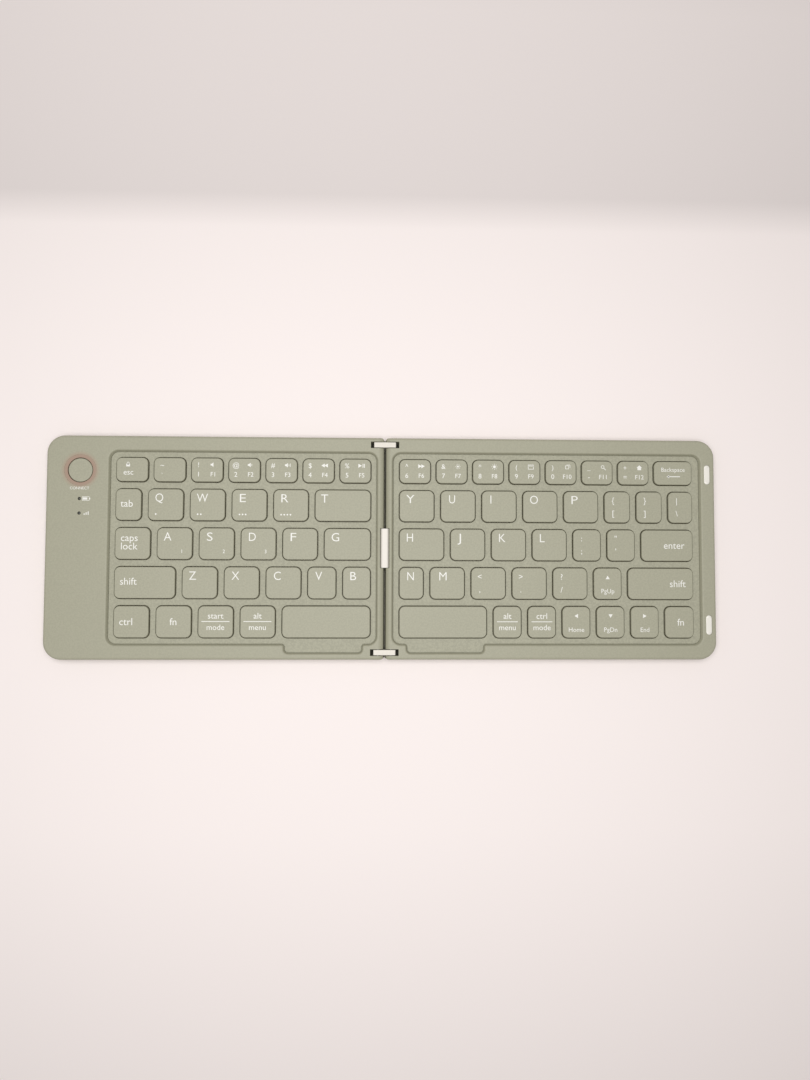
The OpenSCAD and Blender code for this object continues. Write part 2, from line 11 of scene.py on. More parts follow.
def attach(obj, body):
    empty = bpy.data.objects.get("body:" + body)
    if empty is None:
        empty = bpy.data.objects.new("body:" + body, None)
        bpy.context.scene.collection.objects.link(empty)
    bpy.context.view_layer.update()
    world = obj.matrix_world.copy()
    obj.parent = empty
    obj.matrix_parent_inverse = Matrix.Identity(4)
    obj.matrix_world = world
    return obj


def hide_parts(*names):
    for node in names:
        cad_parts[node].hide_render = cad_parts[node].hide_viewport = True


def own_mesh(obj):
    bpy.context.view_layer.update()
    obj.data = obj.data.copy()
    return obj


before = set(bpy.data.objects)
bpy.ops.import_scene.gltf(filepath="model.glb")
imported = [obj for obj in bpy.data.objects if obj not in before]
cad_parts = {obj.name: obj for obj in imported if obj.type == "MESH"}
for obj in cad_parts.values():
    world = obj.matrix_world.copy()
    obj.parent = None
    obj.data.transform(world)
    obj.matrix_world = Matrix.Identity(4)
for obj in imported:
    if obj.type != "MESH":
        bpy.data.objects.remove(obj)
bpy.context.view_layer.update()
scene = bpy.context.scene
MM = 0.001
LEFT, RIGHT = -1, 1

# The studio: white paper under a large soft light, seen by a phone held almost straight above. The
# camera's place and tilt come from the keyboard's four outer corners in the photograph. The paper's painted
# shade is (y, shade) from front to rear: light falling off to the front, and a dark band where paper would
# bend up.
CAMERA_PLACE = (-0.00352, -0.01424, 0.37729)
CAMERA_TILT = (2.775, -1.983, 0.159)
CAMERA_LENS = 27.03
PAPER_SIZE = 3.0
PAPER_COLOUR = (0.97, 0.89, 0.868)
PAPER_CLOUD = 0.985
PAPER_PAINTED_SHADES = ((-0.25, 0.925), (-0.13, 1.0), (0.152, 0.99), (0.168, 0.8), (0.26, 0.93))
SKY_COLOUR = (1.0, 0.975, 0.955)
SKY_STRENGTH = 0.37
LAMP_PLACE = (-0.03, 0.005, 0.55)
LAMP_WIDTH = 0.4
LAMP_POWER = 2.35

camera_data = bpy.data.cameras.new("camera")
camera_data.sensor_width = 36
camera_data.lens = CAMERA_LENS
camera_data.clip_start = 0.01
camera = bpy.data.objects.new("camera", camera_data)
camera.location = CAMERA_PLACE
camera.rotation_euler = [math.radians(angle) for angle in CAMERA_TILT]
scene.collection.objects.link(camera)
scene.camera = camera
scene.view_settings.view_transform = "Standard"

lamp_data = bpy.data.lights.new("overhead", "AREA")
lamp_data.size = LAMP_WIDTH
lamp_data.energy = LAMP_POWER
lamp = bpy.data.objects.new("overhead", lamp_data)
lamp.location = LAMP_PLACE
lamp.visible_camera = False
lamp.rotation_euler = (-Vector(LAMP_PLACE)).to_track_quat("-Z", "Y").to_euler()
scene.collection.objects.link(lamp)

world = bpy.data.worlds.new("soft_room")
world.use_nodes = True
background = world.node_tree.nodes["Background"]
background.inputs["Color"].default_value = (*SKY_COLOUR, 1)
background.inputs["Strength"].default_value = SKY_STRENGTH
scene.world = world


def new_material(name, base, roughness, metallic=0.0):
    """A material and its shader, with plain values on the shader's own sockets."""
    material = bpy.data.materials.new(name)
    material.use_nodes = True
    shader = material.node_tree.nodes["Principled BSDF"]
    shader.inputs["Base Color"].default_value = (*base, 1)
    shader.inputs["Roughness"].default_value = roughness
    shader.inputs["Metallic"].default_value = metallic
    return material, shader


def new_piece(name, mesh, material):
    """An object at the origin that shows a finished mesh in one material."""
    piece = bpy.data.objects.new(name, mesh)
    mesh.materials.clear()
    mesh.materials.append(material)
    scene.collection.objects.link(piece)
    return piece


def node(tree, kind, inputs=(), **settings):
    """A node with its settings, and its inputs set to plain values or linked from outputs."""
    made = tree.nodes.new(kind)
    for setting, value in settings.items():
        setattr(made, setting, value)
    for name, value in dict(inputs).items():
        if isinstance(value, bpy.types.NodeSocket):
            tree.links.new(value, made.inputs[name])
        else:
            made.inputs[name].default_value = value
    return made


def blended(tree, mask, low, high):
    """The blend of two colours by a mask, as an output to link on."""
    mix = node(tree, "ShaderNodeMix", {"Factor": mask, "A": (*low, 1), "B": (*high, 1)}, data_type="RGBA")
    return mix.outputs["Result"]


def white_paper():
    """White paper with a faint cloudy tone, and painted shade: light that falls off towards the front, and
    a darker band where the paper would bend up behind the keyboard, painted on this flat sheet.
    """
    material, shader = new_material("paper", PAPER_COLOUR, 0.9)
    tree = material.node_tree
    noise = node(tree, "ShaderNodeTexNoise", {"Scale": 3.0})
    cloudy = blended(tree, noise.outputs["Fac"], PAPER_COLOUR, [c * PAPER_CLOUD for c in PAPER_COLOUR])
    # Painted shade along y on the flat sheet: lighter under the lamp, darker to the front and past the
    # bend.
    place = node(tree, "ShaderNodeTexCoord")
    parts = node(tree, "ShaderNodeSeparateXYZ", {"Vector": place.outputs["Object"]})
    front, rear = PAPER_PAINTED_SHADES[0][0], PAPER_PAINTED_SHADES[-1][0]
    along = node(tree, "ShaderNodeMapRange", {
        "Value": parts.outputs["Y"], "From Min": front, "From Max": rear})
    painted_shades = node(tree, "ShaderNodeValToRGB", {"Fac": along.outputs["Result"]})
    stops = painted_shades.color_ramp.elements
    while len(stops) < len(PAPER_PAINTED_SHADES):
        stops.new(0.5)
    for stop, (y, shade) in zip(stops, PAPER_PAINTED_SHADES):
        stop.position = (y - front) / (rear - front)
        stop.color = (shade, shade, shade, 1)
    toned = node(tree, "ShaderNodeMix", {"Factor": 1.0, "A": cloudy, "B": painted_shades.outputs["Color"]},
                 data_type="RGBA", blend_type="MULTIPLY")
    tree.links.new(toned.outputs["Result"], shader.inputs["Base Color"])
    return material


paper_mesh = bpy.data.meshes.new("paper")
half_paper = PAPER_SIZE / 2
paper_mesh.from_pydata(
    [(-half_paper, -half_paper, 0), (half_paper, -half_paper, 0), (half_paper, half_paper, 0),
     (-half_paper, half_paper, 0)], [], [(0, 1, 2, 3)])
new_piece("paper", paper_mesh, white_paper())

# Top frames: the sage rim of each half, one injection moulding in matte plastic with a soft outer
# edge. The edge along the hinge is round about the pivots, so that the halves can turn past each other.
HALF = {LEFT: "left_half", RIGHT: "right_half"}
HALF_WIDTH = 153.2
HALF_DEPTH = 50.75
CASE_TOP = 7.0
SEAM = 1.6
GAP_HALF = 0.55
LIP_GAP_HALF = 0.06
CORNER_RADIUS = 8.0
HINGE_CORNER_RADIUS = 1.2
OUTER_EDGE = 1.1
RECESS_EDGE = 0.8
RECESS_SLOPE = 0.35
SEAM_EDGE = 0.12
DECK_TOP = 5.4
WALL = 1.35
RECESS_NEAR = 3.5
RECESS_FAR = {LEFT: 125.2, RIGHT: 146.6}
RECESS_REAR = 44.0
RECESS_FRONT = -44.1
RECESS_RADIUS = 4.0
TAB = (10.0, 45.7, -48.0)
TAB_RADIUS = 2.0
TAB_MOUTH_RADIUS = 1.0
PIVOT_X = 3.0
PIVOT_Z = 4.25
SLOT_END = 6.5
SLOT_MIDDLE = 47.5
SLOT_WIDTH = 3.0
NOTCH_END = 2.1
NOTCH_WIDTH = 18.2
CHANNEL_END = 3.2
CHANNEL_LOW, CHANNEL_TOP = 2.0, 2.95
HOLLOW_NEAR = 2.85
HOLLOW_Y = 44.4
HINGE_BLOCK = 9.5
SHARP_ANGLE = 35
# How far a cutter reaches past the case, so that no skin is left, and the share of half the width
# that makes an end fully round without edges of no length.
PAST_SIDE, PAST_TOP = 0.5, 1.0
FULL_ROUND = 0.999
SAGE = (0.373, 0.364, 0.268)
SAGE_LIGHT = (0.393, 0.382, 0.286)


def filleted_loop(corners, steps=8):
    """Points and outward normals of an anticlockwise outline whose corners are (x, y, radius)."""
    loop = []
    for i, (x, y, radius) in enumerate(corners):
        here = Vector((x, y))
        way_in = (here - Vector(corners[i - 1][:2])).normalized()
        way_out = (Vector(corners[(i + 1) % len(corners)][:2]) - here).normalized()
        turn = math.atan2(way_in.cross(way_out), way_in.dot(way_out))
        side = 1 if turn > 0 else -1
        first = math.atan2(-way_in.x, way_in.y)
        centre = here - way_in * radius * math.tan(abs(turn) / 2)
        centre -= Vector((way_in.y, -way_in.x)) * radius * side
        count = steps if radius > 0 else 1
        for k in range(count + 1):
            angle = first + turn * k / count
            normal = Vector((math.cos(angle), math.sin(angle)))
            if radius == 0:
                middle = first + turn / 2
                normal = Vector((math.cos(middle), math.sin(middle))) / math.cos(turn / 2)
            loop.append((centre + normal * radius * side if radius else here, normal))
            if radius == 0:
                break
    return loop


def rounded_box(x0, y0, x1, y1, radius, steps=8):
    """A rectangle's outline with four equal round corners."""
    return filleted_loop([(x0, y0, radius), (x1, y0, radius), (x1, y1, radius), (x0, y1, radius)], steps)


def soft_edge(radius, height, steps=5):
    """Wall rows (inset, z) that end in a quarter round below the height."""
    rows = []
    for k in range(steps + 1):
        angle = math.pi / 2 * k / steps
        rows.append((radius * (1 - math.cos(angle)), height - radius * (1 - math.sin(angle))))
    return rows


def moulding(outer, holes, rows, hole_rows=()):
    """A closed mesh: walls follow the outline and holes through rows of (inset, z), from low to high."""
    mesh = bmesh.new()
    rims = []
    for loop, levels, sign in [(outer, rows, 1)] + [(hole, hole_rows, -1) for hole in holes]:
        rings = []
        for inset, z in levels:
            points = [(point - normal * inset * sign) * MM for point, normal in loop]
            rings.append([mesh.verts.new((p.x, p.y, z * MM)) for p in points])
        for low, high in zip(rings, rings[1:]):
            for k in range(len(loop)):
                quad = (low[k - 1], low[k], high[k], high[k - 1])
                mesh.faces.new(quad if sign > 0 else reversed(quad))
        rims.append((rings[0], rings[-1]))
    for end, up in ((0, -1), (1, 1)):
        edges = [rim[end] for rim in rims]
        flat = [vertex for ring in edges for vertex in ring]
        for corners in tessellate_polygon([[v.co for v in ring] for ring in edges]):
            a, b, c = (flat[i] for i in corners)
            lift = (b.co - a.co).cross(c.co - a.co).z
            if abs(lift) > 1e-16:
                mesh.faces.new((a, b, c) if lift * up > 0 else (c, b, a))
    return mesh


def to_mesh(name, build, place=None):
    """A mesh datablock from a bmesh, moved to its place."""
    if place is not None:
        bmesh.ops.transform(build, matrix=place, verts=build.verts)
    mesh = bpy.data.meshes.new(name)
    build.to_mesh(mesh)
    build.free()
    return mesh


def baked(piece):
    """Turns the piece's modifiers into its mesh."""
    shaped = piece.evaluated_get(bpy.context.evaluated_depsgraph_get())
    mesh = bpy.data.meshes.new_from_object(shaped)
    piece.modifiers.clear()
    piece.data = mesh
    return piece


def shaded(piece):
    """Smooth shading with crisp edges, where flat faces stay flat."""
    mesh = piece.data
    mesh.polygons.foreach_set("use_smooth", [True] * len(mesh.polygons))
    mesh.set_sharp_from_angle(angle=math.radians(SHARP_ANGLE))
    normals = piece.modifiers.new("flat_faces", "WEIGHTED_NORMAL")
    normals.keep_sharp = True
    return baked(piece)


def carved(piece, cutters):
    """Cuts each mesh in cutters out of the piece."""
    tools = []
    for i, shape in enumerate(cutters):
        tool = bpy.data.objects.new(f"{piece.name}_cutter_{i}", shape)
        scene.collection.objects.link(tool)
        cut = piece.modifiers.new("cut", "BOOLEAN")
        cut.operation = "DIFFERENCE"
        cut.solver = "EXACT"
        cut.object = tool
        tools.append(tool)
    bpy.context.view_layer.update()
    baked(piece)
    for tool in tools:
        bpy.data.objects.remove(tool)


def cutter(loop, z0, z1, place=None):
    """A block with straight walls to cut with, from its outline."""
    return to_mesh("cutter", moulding(loop, [], [(0, z0), (0, z1)]), place)


def box_cutter(x0, y0, z0, x1, y1, z1):
    """A plain block to cut with."""
    return cutter(filleted_loop([(x0, y0, 0), (x1, y0, 0), (x1, y1, 0), (x0, y1, 0)]), z0, z1)


def circle_loop(x, y, radius, steps):
    """A circle as an outline."""
    loop = []
    for k in range(steps):
        across, up = math.cos(2 * math.pi * k / steps), math.sin(2 * math.pi * k / steps)
        loop.append((Vector((x + radius * across, y + radius * up)), Vector((across, up))))
    return loop


def round_cutter(x, y, z0, z1, radius, steps):
    """A cylinder along Z to cut with."""
    return cutter(circle_loop(x, y, radius, steps), z0, z1)


# Stands a side view, drawn in X and Y, upright in X and Z.
UPRIGHT = Matrix(((1, 0, 0, 0), (0, 0, -1, 0), (0, 1, 0, 0), (0, 0, 0, 1)))


def hinge_edge_cutter(steps=16):
    """What is milled off above the round edge along the hinge."""
    radius = CASE_TOP - PIVOT_Z
    corners = [(-PAST_SIDE, CASE_TOP + PAST_TOP, 0), (-PAST_SIDE, PIVOT_Z, 0)]
    for k in range(steps + 1):
        angle = math.pi - math.pi / 2 * k / steps
        corners.append((PIVOT_X + radius * math.cos(angle), PIVOT_Z + radius * math.sin(angle), 0))
    corners.append((PIVOT_X, CASE_TOP + PAST_TOP, 0))
    return cutter(filleted_loop(corners), -HALF_DEPTH - PAST_TOP, HALF_DEPTH + PAST_TOP, UPRIGHT)


def mirrored(mesh, side):
    """The mesh as drawn for the right half, or turned over for the left one."""
    if side == LEFT:
        mesh.transform(Matrix.Scale(-1, 4, (1, 0, 0)))
        mesh.flip_normals()
    return mesh


def case_loop(near_edge):
    """The outline of one half, from its near edge beside the hinge centre line."""
    return filleted_loop([
        (near_edge, -HALF_DEPTH, HINGE_CORNER_RADIUS), (HALF_WIDTH, -HALF_DEPTH, CORNER_RADIUS),
        (HALF_WIDTH, HALF_DEPTH, CORNER_RADIUS), (near_edge, HALF_DEPTH, HINGE_CORNER_RADIUS)], 14)


def recess_loop(side):
    """The outline of the recess round the keys, with the shallow thumb tab at its front."""
    near, far, front = TAB
    return filleted_loop([
        (RECESS_NEAR, RECESS_FRONT, RECESS_RADIUS), (near, RECESS_FRONT, TAB_MOUTH_RADIUS),
        (near, front, TAB_RADIUS), (far, front, TAB_RADIUS),
        (far, RECESS_FRONT, TAB_MOUTH_RADIUS), (RECESS_FAR[side], RECESS_FRONT, RECESS_RADIUS),
        (RECESS_FAR[side], RECESS_REAR, RECESS_RADIUS), (RECESS_NEAR, RECESS_REAR, RECESS_RADIUS)], 10)


def cavity_cutter():
    """The hollow under the rim, which goes round the solid corners that hold the hinge."""
    inner_y = HALF_DEPTH - WALL
    radius = CORNER_RADIUS - WALL
    far = HALF_WIDTH - WALL
    loop = filleted_loop([
        (HOLLOW_NEAR, -HOLLOW_Y, 0), (HINGE_BLOCK, -HOLLOW_Y, 0), (HINGE_BLOCK, -inner_y, 0),
        (far, -inner_y, radius), (far, inner_y, radius),
        (HINGE_BLOCK, inner_y, 0), (HINGE_BLOCK, HOLLOW_Y, 0), (HOLLOW_NEAR, HOLLOW_Y, 0)])
    return cutter(loop, SEAM - PAST_TOP, DECK_TOP)


def object_noise(tree, scale, detail=2.0):
    """A noise on Object coordinates, as an output to link on."""
    place = node(tree, "ShaderNodeTexCoord")
    noise = node(tree, "ShaderNodeTexNoise", {
        "Vector": place.outputs["Object"], "Scale": scale, "Detail": detail})
    return noise.outputs["Fac"]


def grain_group():
    """Fine moulded grain: soft cloudy tone, sparse pale and dark specks, and the height of the texture."""
    group = bpy.data.node_groups.new("moulded_grain", "ShaderNodeTree")
    sockets = group.interface
    for name, value in (("Grain Scale", 4000.0), ("Cloud Scale", 25.0), ("Speck Scale", 1400.0)):
        sockets.new_socket(name=name, in_out="INPUT", socket_type="NodeSocketFloat").default_value = value
    for name in ("Cloud", "Speck", "Height"):
        sockets.new_socket(name=name, in_out="OUTPUT", socket_type="NodeSocketFloat")
    given = node(group, "NodeGroupInput").outputs
    specks = node(group, "ShaderNodeMapRange", {
        "Value": object_noise(group, given["Speck Scale"], 1.0), "From Min": 0.35, "From Max": 0.65})
    node(group, "NodeGroupOutput", {
        "Cloud": object_noise(group, given["Cloud Scale"]), "Speck": specks.outputs["Result"],
        "Height": object_noise(group, given["Grain Scale"], 3.0)})
    return group


MOULDED_GRAIN = grain_group()


def sheen(tree, shader, height, low, high):
    """Roughness that varies with a texture."""
    spread = node(tree, "ShaderNodeMapRange", {"Value": height, "To Min": low, "To Max": high})
    tree.links.new(spread.outputs["Result"], shader.inputs["Roughness"])


def relief(tree, shader, height, strength, distance):
    """Fine relief from a texture."""
    bump = node(tree, "ShaderNodeBump", {"Height": height, "Strength": strength, "Distance": distance})
    tree.links.new(bump.outputs["Normal"], shader.inputs["Normal"])


def sage_plastic(name, dark, light, speck=0.0, grain=0.12, roughness=(0.5, 0.58)):
    """Matte sage plastic: the tone drifts a little, with as many specks and as much grain as asked."""
    material, shader = new_material(name, light, roughness[0])
    tree = material.node_tree
    texture = node(tree, "ShaderNodeGroup", node_tree=MOULDED_GRAIN).outputs
    drift = blended(tree, texture["Cloud"], dark, light)
    specks = node(tree, "ShaderNodeMix", {"Factor": speck, "A": drift, "B": texture["Speck"]},
                  data_type="RGBA", blend_type="OVERLAY")
    tree.links.new(specks.outputs["Result"], shader.inputs["Base Color"])
    sheen(tree, shader, texture["Height"], *roughness)
    relief(tree, shader, texture["Height"], grain, 0.00005)
    return material


BUTTON_PLACE = (138.0, 34.9)
RING_OUTER = 7.2
# Painted glow: pink mixed into the plastic's colour round the button, full up to GLOW_FULL and gone at
# GLOW_END.
PAINTED_GLOW_PINK = (0.4, 0.3, 0.22)
PAINTED_GLOW_DEEP = (0.375, 0.262, 0.195)
GLOW_FULL, GLOW_END = 6.2, 9.2


def painted_button_glow(material, colour):
    """The same plastic, with a painted red glow in its colour near the button, where the light round it
    would shine through.
    """
    tree = material.node_tree
    base = tree.nodes["Principled BSDF"].inputs["Base Color"]
    place = node(tree, "ShaderNodeTexCoord")
    centred = node(tree, "ShaderNodeMapping", {
        "Vector": place.outputs["Object"], "Location": (BUTTON_PLACE[0] * MM, -BUTTON_PLACE[1] * MM, 0),
        "Scale": (1, 1, 0)})
    reach = node(tree, "ShaderNodeVectorMath", {"Vector": centred.outputs["Vector"]}, operation="LENGTH")
    share = node(tree, "ShaderNodeMapRange", {
        "Value": reach.outputs["Value"], "From Min": GLOW_FULL * MM, "From Max": GLOW_END * MM,
        "To Min": 1.0, "To Max": 0.0}, interpolation_type="SMOOTHSTEP")
    glow = node(tree, "ShaderNodeMix", {
        "Factor": share.outputs["Result"], "A": base.links[0].from_socket, "B": (*colour, 1)},
        data_type="RGBA")
    tree.links.new(glow.outputs["Result"], base)
    return material


# The rim's plastic carries the painted glow round the button.
FRAME_PLASTIC = painted_button_glow(sage_plastic("sage_frame", SAGE, SAGE_LIGHT, speck=0.04), PAINTED_GLOW_PINK)
LENS_PLACES = ((138.2, 21.9), (138.2, 15.3))
LENS_RADIUS = 0.7
LENS_SPARE = 0.05
MAGNET_PLACES = ((149.7, 34.7), (149.7, -34.9))
MAGNET_SIZE = (2.7, 9.0)
MAGNET_SPARE = 0.06
POCKET_DEPTH = 1.3
SOCKET_Y, SOCKET_Z = 24.0, 3.78
SOCKET_HALF = (4.62, 1.73)
SOCKET_RADIUS = 1.72
SOCKET_CUT = (150.0, 155.0)
# Stands a view on the end, drawn in X and Y, upright in Y and Z.
SIDEWAYS = Matrix(((0, 0, 1, 0), (1, 0, 0, 0), (0, 1, 0, 0), (0, 0, 0, 1)))


def slot_cutters():
    """The slots for the two hinge links and the notch for the flat cable."""
    low, top = SEAM - PAST_SIDE, CASE_TOP + PAST_TOP
    half = NOTCH_WIDTH / 2
    cutters = []
    for end in (-1, 1):
        y0, y1 = sorted((end * (SLOT_MIDDLE - SLOT_WIDTH / 2), end * (SLOT_MIDDLE + SLOT_WIDTH / 2)))
        cutters.append(box_cutter(-PAST_SIDE, y0, low, SLOT_END, y1, top))
    cutters.append(box_cutter(-PAST_SIDE, -half, low, NOTCH_END, half, top))
    cutters.append(box_cutter(NOTCH_END - PAST_SIDE, -half, CHANNEL_LOW, CHANNEL_END, half, CHANNEL_TOP))
    return cutters


def magnet_loop(x, y, spare):
    """The outline of an oval magnet, or of its pocket with some spare room."""
    half_w, half_l = MAGNET_SIZE[0] / 2 + spare, MAGNET_SIZE[1] / 2 + spare
    return rounded_box(x - half_w, y - half_l, x + half_w, y + half_l, half_w * FULL_ROUND, 12)


def panel_cutters():
    """The holes in the left rim for the button, its lenses and the charging socket."""
    low, top = DECK_TOP - PAST_TOP, CASE_TOP + PAST_TOP
    cutters = [round_cutter(*BUTTON_PLACE, low, top, RING_OUTER, 72)]
    for place in LENS_PLACES:
        cutters.append(round_cutter(*place, low, top, LENS_RADIUS + LENS_SPARE, 24))
    half_y, half_z = SOCKET_HALF
    socket = rounded_box(
        SOCKET_Y - half_y, SOCKET_Z - half_z, SOCKET_Y + half_y, SOCKET_Z + half_z, SOCKET_RADIUS, 8)
    cutters.append(cutter(socket, *SOCKET_CUT, SIDEWAYS))
    return cutters


def magnet_cutters():
    """The two pockets in the right rim."""
    return [cutter(magnet_loop(x, y, MAGNET_SPARE), CASE_TOP - POCKET_DEPTH, CASE_TOP + PAST_TOP)
            for x, y in MAGNET_PLACES]


def top_frame(side, name):
    """One half's rim, with its hollow and cut-outs."""
    outer_rows = [(SEAM_EDGE, SEAM), (0, SEAM + SEAM_EDGE)] + soft_edge(OUTER_EDGE, CASE_TOP)
    hole_rows = [(-RECESS_SLOPE, SEAM), (-RECESS_SLOPE, DECK_TOP)] + soft_edge(RECESS_EDGE, CASE_TOP, 4)
    build = moulding(case_loop(GAP_HALF), [recess_loop(side)], outer_rows, hole_rows)
    piece = new_piece(name, to_mesh(name, build), FRAME_PLASTIC)
    cutters = [cavity_cutter(), hinge_edge_cutter()] + slot_cutters()
    carved(piece, cutters + (panel_cutters() if side == LEFT else magnet_cutters()))
    mirrored(piece.data, side)
    shaded(piece)
    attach(piece, HALF[side])
    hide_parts(name.replace("_shell", ""))


top_frame(LEFT, "left_top_frame_shell")
top_frame(RIGHT, "right_top_frame_shell")

# Bottom covers: flat sage mouldings that close the halves from below, with sunk places for the feet and
# countersunk holes for the screws. Their lower edge is rounded; their upward faces inside carry painted
# shade, dark in the gap between halves and the slot ends.
COVER_LOW = 0.6
COVER_EDGE = 0.45
FACES_UP = 0.9
SCREW_PLACES = {
    LEFT: ((20, 1), (72, 1), (146, 1), (56, -1), (100, -1), (146, -1)),
    RIGHT: ((20, 1), (80, 1), (138, 1), (56, -1), (98, -1), (138, -1)),
}
SCREW_Y = 47.3
SCREW_HEAD_RADIUS = 1.8
SCREW_SINK = 0.55
FOOT_SIZE = (20.0, 5.0)
FOOT_SPARE = 0.05
FOOT_SINK = 0.3
FOOT_PLACES = [(x, y) for x in (24.0, 136.0) for y in (-43.0, 43.0)]
GAP_SHADE_PAINT, _ = new_material("painted_gap_shade", (0.042, 0.04, 0.023), 0.7)
COVER_PLASTIC = sage_plastic(
    "sage_cover", (0.35, 0.343, 0.255), (0.375, 0.367, 0.275), speck=0.06, grain=0.3)


def foot_loop(x, y, spare):
    """The outline of the pocket that one foot is glued into, with some spare room."""
    half_l, half_w = FOOT_SIZE[0] / 2 + spare, FOOT_SIZE[1] / 2 + spare
    return rounded_box(x - half_l, y - half_w, x + half_l, y + half_w, half_w * FULL_ROUND, 10)


def bottom_cover(side, name):
    """One half's underside."""
    turned = soft_edge(COVER_EDGE, COVER_LOW + COVER_EDGE)
    rows = [(inset, 2 * COVER_LOW + COVER_EDGE - z) for inset, z in reversed(turned)]
    rows += [(0, SEAM - SEAM_EDGE), (SEAM_EDGE, SEAM)]
    piece = new_piece(name, to_mesh(name, moulding(case_loop(LIP_GAP_HALF), [], rows)), COVER_PLASTIC)
    cutters = []
    for x, y in FOOT_PLACES:
        cutters.append(cutter(foot_loop(x, y, FOOT_SPARE), 0, COVER_LOW + FOOT_SINK))
    for x, end in SCREW_PLACES[side]:
        cutters.append(round_cutter(x, end * SCREW_Y, 0, COVER_LOW + SCREW_SINK, SCREW_HEAD_RADIUS, 32))
    carved(piece, cutters)
    # Painted shade: the faces inside that look up through the gap and slots are painted nearly black.
    piece.data.materials.append(GAP_SHADE_PAINT)
    for face in piece.data.polygons:
        inside = face.normal.z > FACES_UP and face.center.z > (SEAM - SEAM_EDGE) * MM
        face.material_index = 1 if inside else 0
    mirrored(piece.data, side)
    shaded(piece)
    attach(piece, HALF[side])
    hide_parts(name.replace("_shell", ""))


bottom_cover(LEFT, "left_bottom_cover_shell")
bottom_cover(RIGHT, "right_bottom_cover_shell")

# Key decks: the grained plates between the keys, sunk below the rim and moulded with one opening for
# each key. The openings keep to rows of standard keys, 2 or 2.5 mm apart. A groove parts deck and rim.
WEB, NUMBER_WEB = 2.5, 2.0
LETTER, NUMBER, SMALL, NARROW, BRACKET = 16.4, 14.9, 13.4, 12.1, 12.4
KEY_DEPTH = 15.0
NUMBER_DEPTH = 11.6
OPENING_RADIUS = 2.8
DECK_LOW = 4.5
DECK_EDGE = 0.15
DECK_NEAR = 2.9
DECK_FRONT, DECK_REAR = -44.4, 44.3
UNDER_RIM = 0.8
UNDER_TAB_NEAR, UNDER_TAB = 0.4, 0.6
GROOVE = (0.3, 0.62)
GROOVE_LOW = 4.9
ROW_Y = (35.4, 19.4, 1.7, -16.0, -33.7)
ZONE = {LEFT: (-122.4, 116.2), RIGHT: (6.4, 136.6)}
ROW_WIDTHS = {
    LEFT: (
        [NUMBER] * 6, [NARROW] + [LETTER] * 4, [LETTER] * 5, [27.9] + [LETTER] * 3 + [SMALL], [LETTER] * 4),
    RIGHT: (
        [NUMBER] * 7, [16.5] * 5 + [BRACKET] * 2, [21.0] + [LETTER] * 3 + [SMALL] * 2,
        [11.6] + [LETTER] * 4 + [SMALL], [40.7] + [SMALL] * 5),
}
DECK_PLASTIC = sage_plastic(
    "sage_deck", (0.378, 0.37, 0.277), (0.4, 0.391, 0.296), speck=0.08, grain=0.3, roughness=(0.55, 0.66))


def key_openings(side, row):
    """The openings of one row as (left edge, width, middle, depth); the last one fills the row up."""
    start, zone = ZONE[side]
    web, depth = (NUMBER_WEB, NUMBER_DEPTH) if row == 0 else (WEB, KEY_DEPTH)
    widths = list(ROW_WIDTHS[side][row])
    widths.append(zone - sum(widths) - web * len(widths))
    openings = []
    for width in widths:
        openings.append((start, width, ROW_Y[row], depth))
        start += width + web
    return openings


def key_deck(side, name):
    """One half's deck plate with all its key openings."""
    end = RECESS_FAR[side] + UNDER_RIM
    tab_near, tab_far, tab_front = TAB[0] - UNDER_TAB_NEAR, TAB[1] + UNDER_TAB, TAB[2] - UNDER_TAB
    corners = [
        (DECK_NEAR, DECK_FRONT, 0), (tab_near, DECK_FRONT, 0), (tab_near, tab_front, 0),
        (tab_far, tab_front, 0), (tab_far, DECK_FRONT, 0), (end, DECK_FRONT, 0), (end, DECK_REAR, 0),
        (DECK_NEAR, DECK_REAR, 0)]
    if side == LEFT:
        corners = [(-x, y, r) for x, y, r in reversed(corners)]
    holes = []
    for row in range(len(ROW_Y)):
        for x, width, y, depth in key_openings(side, row):
            holes.append(rounded_box(x, y - depth / 2, x + width, y + depth / 2, OPENING_RADIUS))
    hole_rows = [(0, DECK_LOW)] + soft_edge(DECK_EDGE, DECK_TOP, 3)
    build = moulding(filleted_loop(corners), holes, [(0, DECK_LOW), (0, DECK_TOP)], hole_rows)
    piece = new_piece(name, to_mesh(name, build), DECK_PLASTIC)
    rim = recess_loop(side)
    levels = (GROOVE_LOW, CASE_TOP)
    groove = moulding(rim, [rim], [(GROOVE[0], z) for z in levels], [(-GROOVE[1], z) for z in levels])
    carved(piece, [mirrored(to_mesh("cutter", groove), side)])
    shaded(piece)
    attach(piece, HALF[side])
    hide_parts(name.replace("_plate", ""))


key_deck(LEFT, "left_key_deck_plate")
key_deck(RIGHT, "right_key_deck_plate")

# Under the keys: a stamped metal plate, a printed clear membrane, silicone domes and white folding
# links. Only slivers of them show in the gaps round the keys, so the construction's own shapes stay.


def grained(name, base, roughness, metallic, scale, change, grain):
    """A material whose tone and surface vary with one noise."""
    material, shader = new_material(name, base, roughness, metallic)
    tree = material.node_tree
    noise = object_noise(tree, scale, 3.0)
    dark, light = [c * (1 - change) for c in base], [min(1.0, c * (1 + change)) for c in base]
    tree.links.new(blended(tree, noise, dark, light), shader.inputs["Base Color"])
    relief(tree, shader, noise, grain, 0.00003)
    return material


def repainted(material, *names):
    """Gives CAD nodes that keep their own shape a better material."""
    for name in names:
        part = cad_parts[name]
        part.data.materials.clear()
        part.data.materials.append(material)


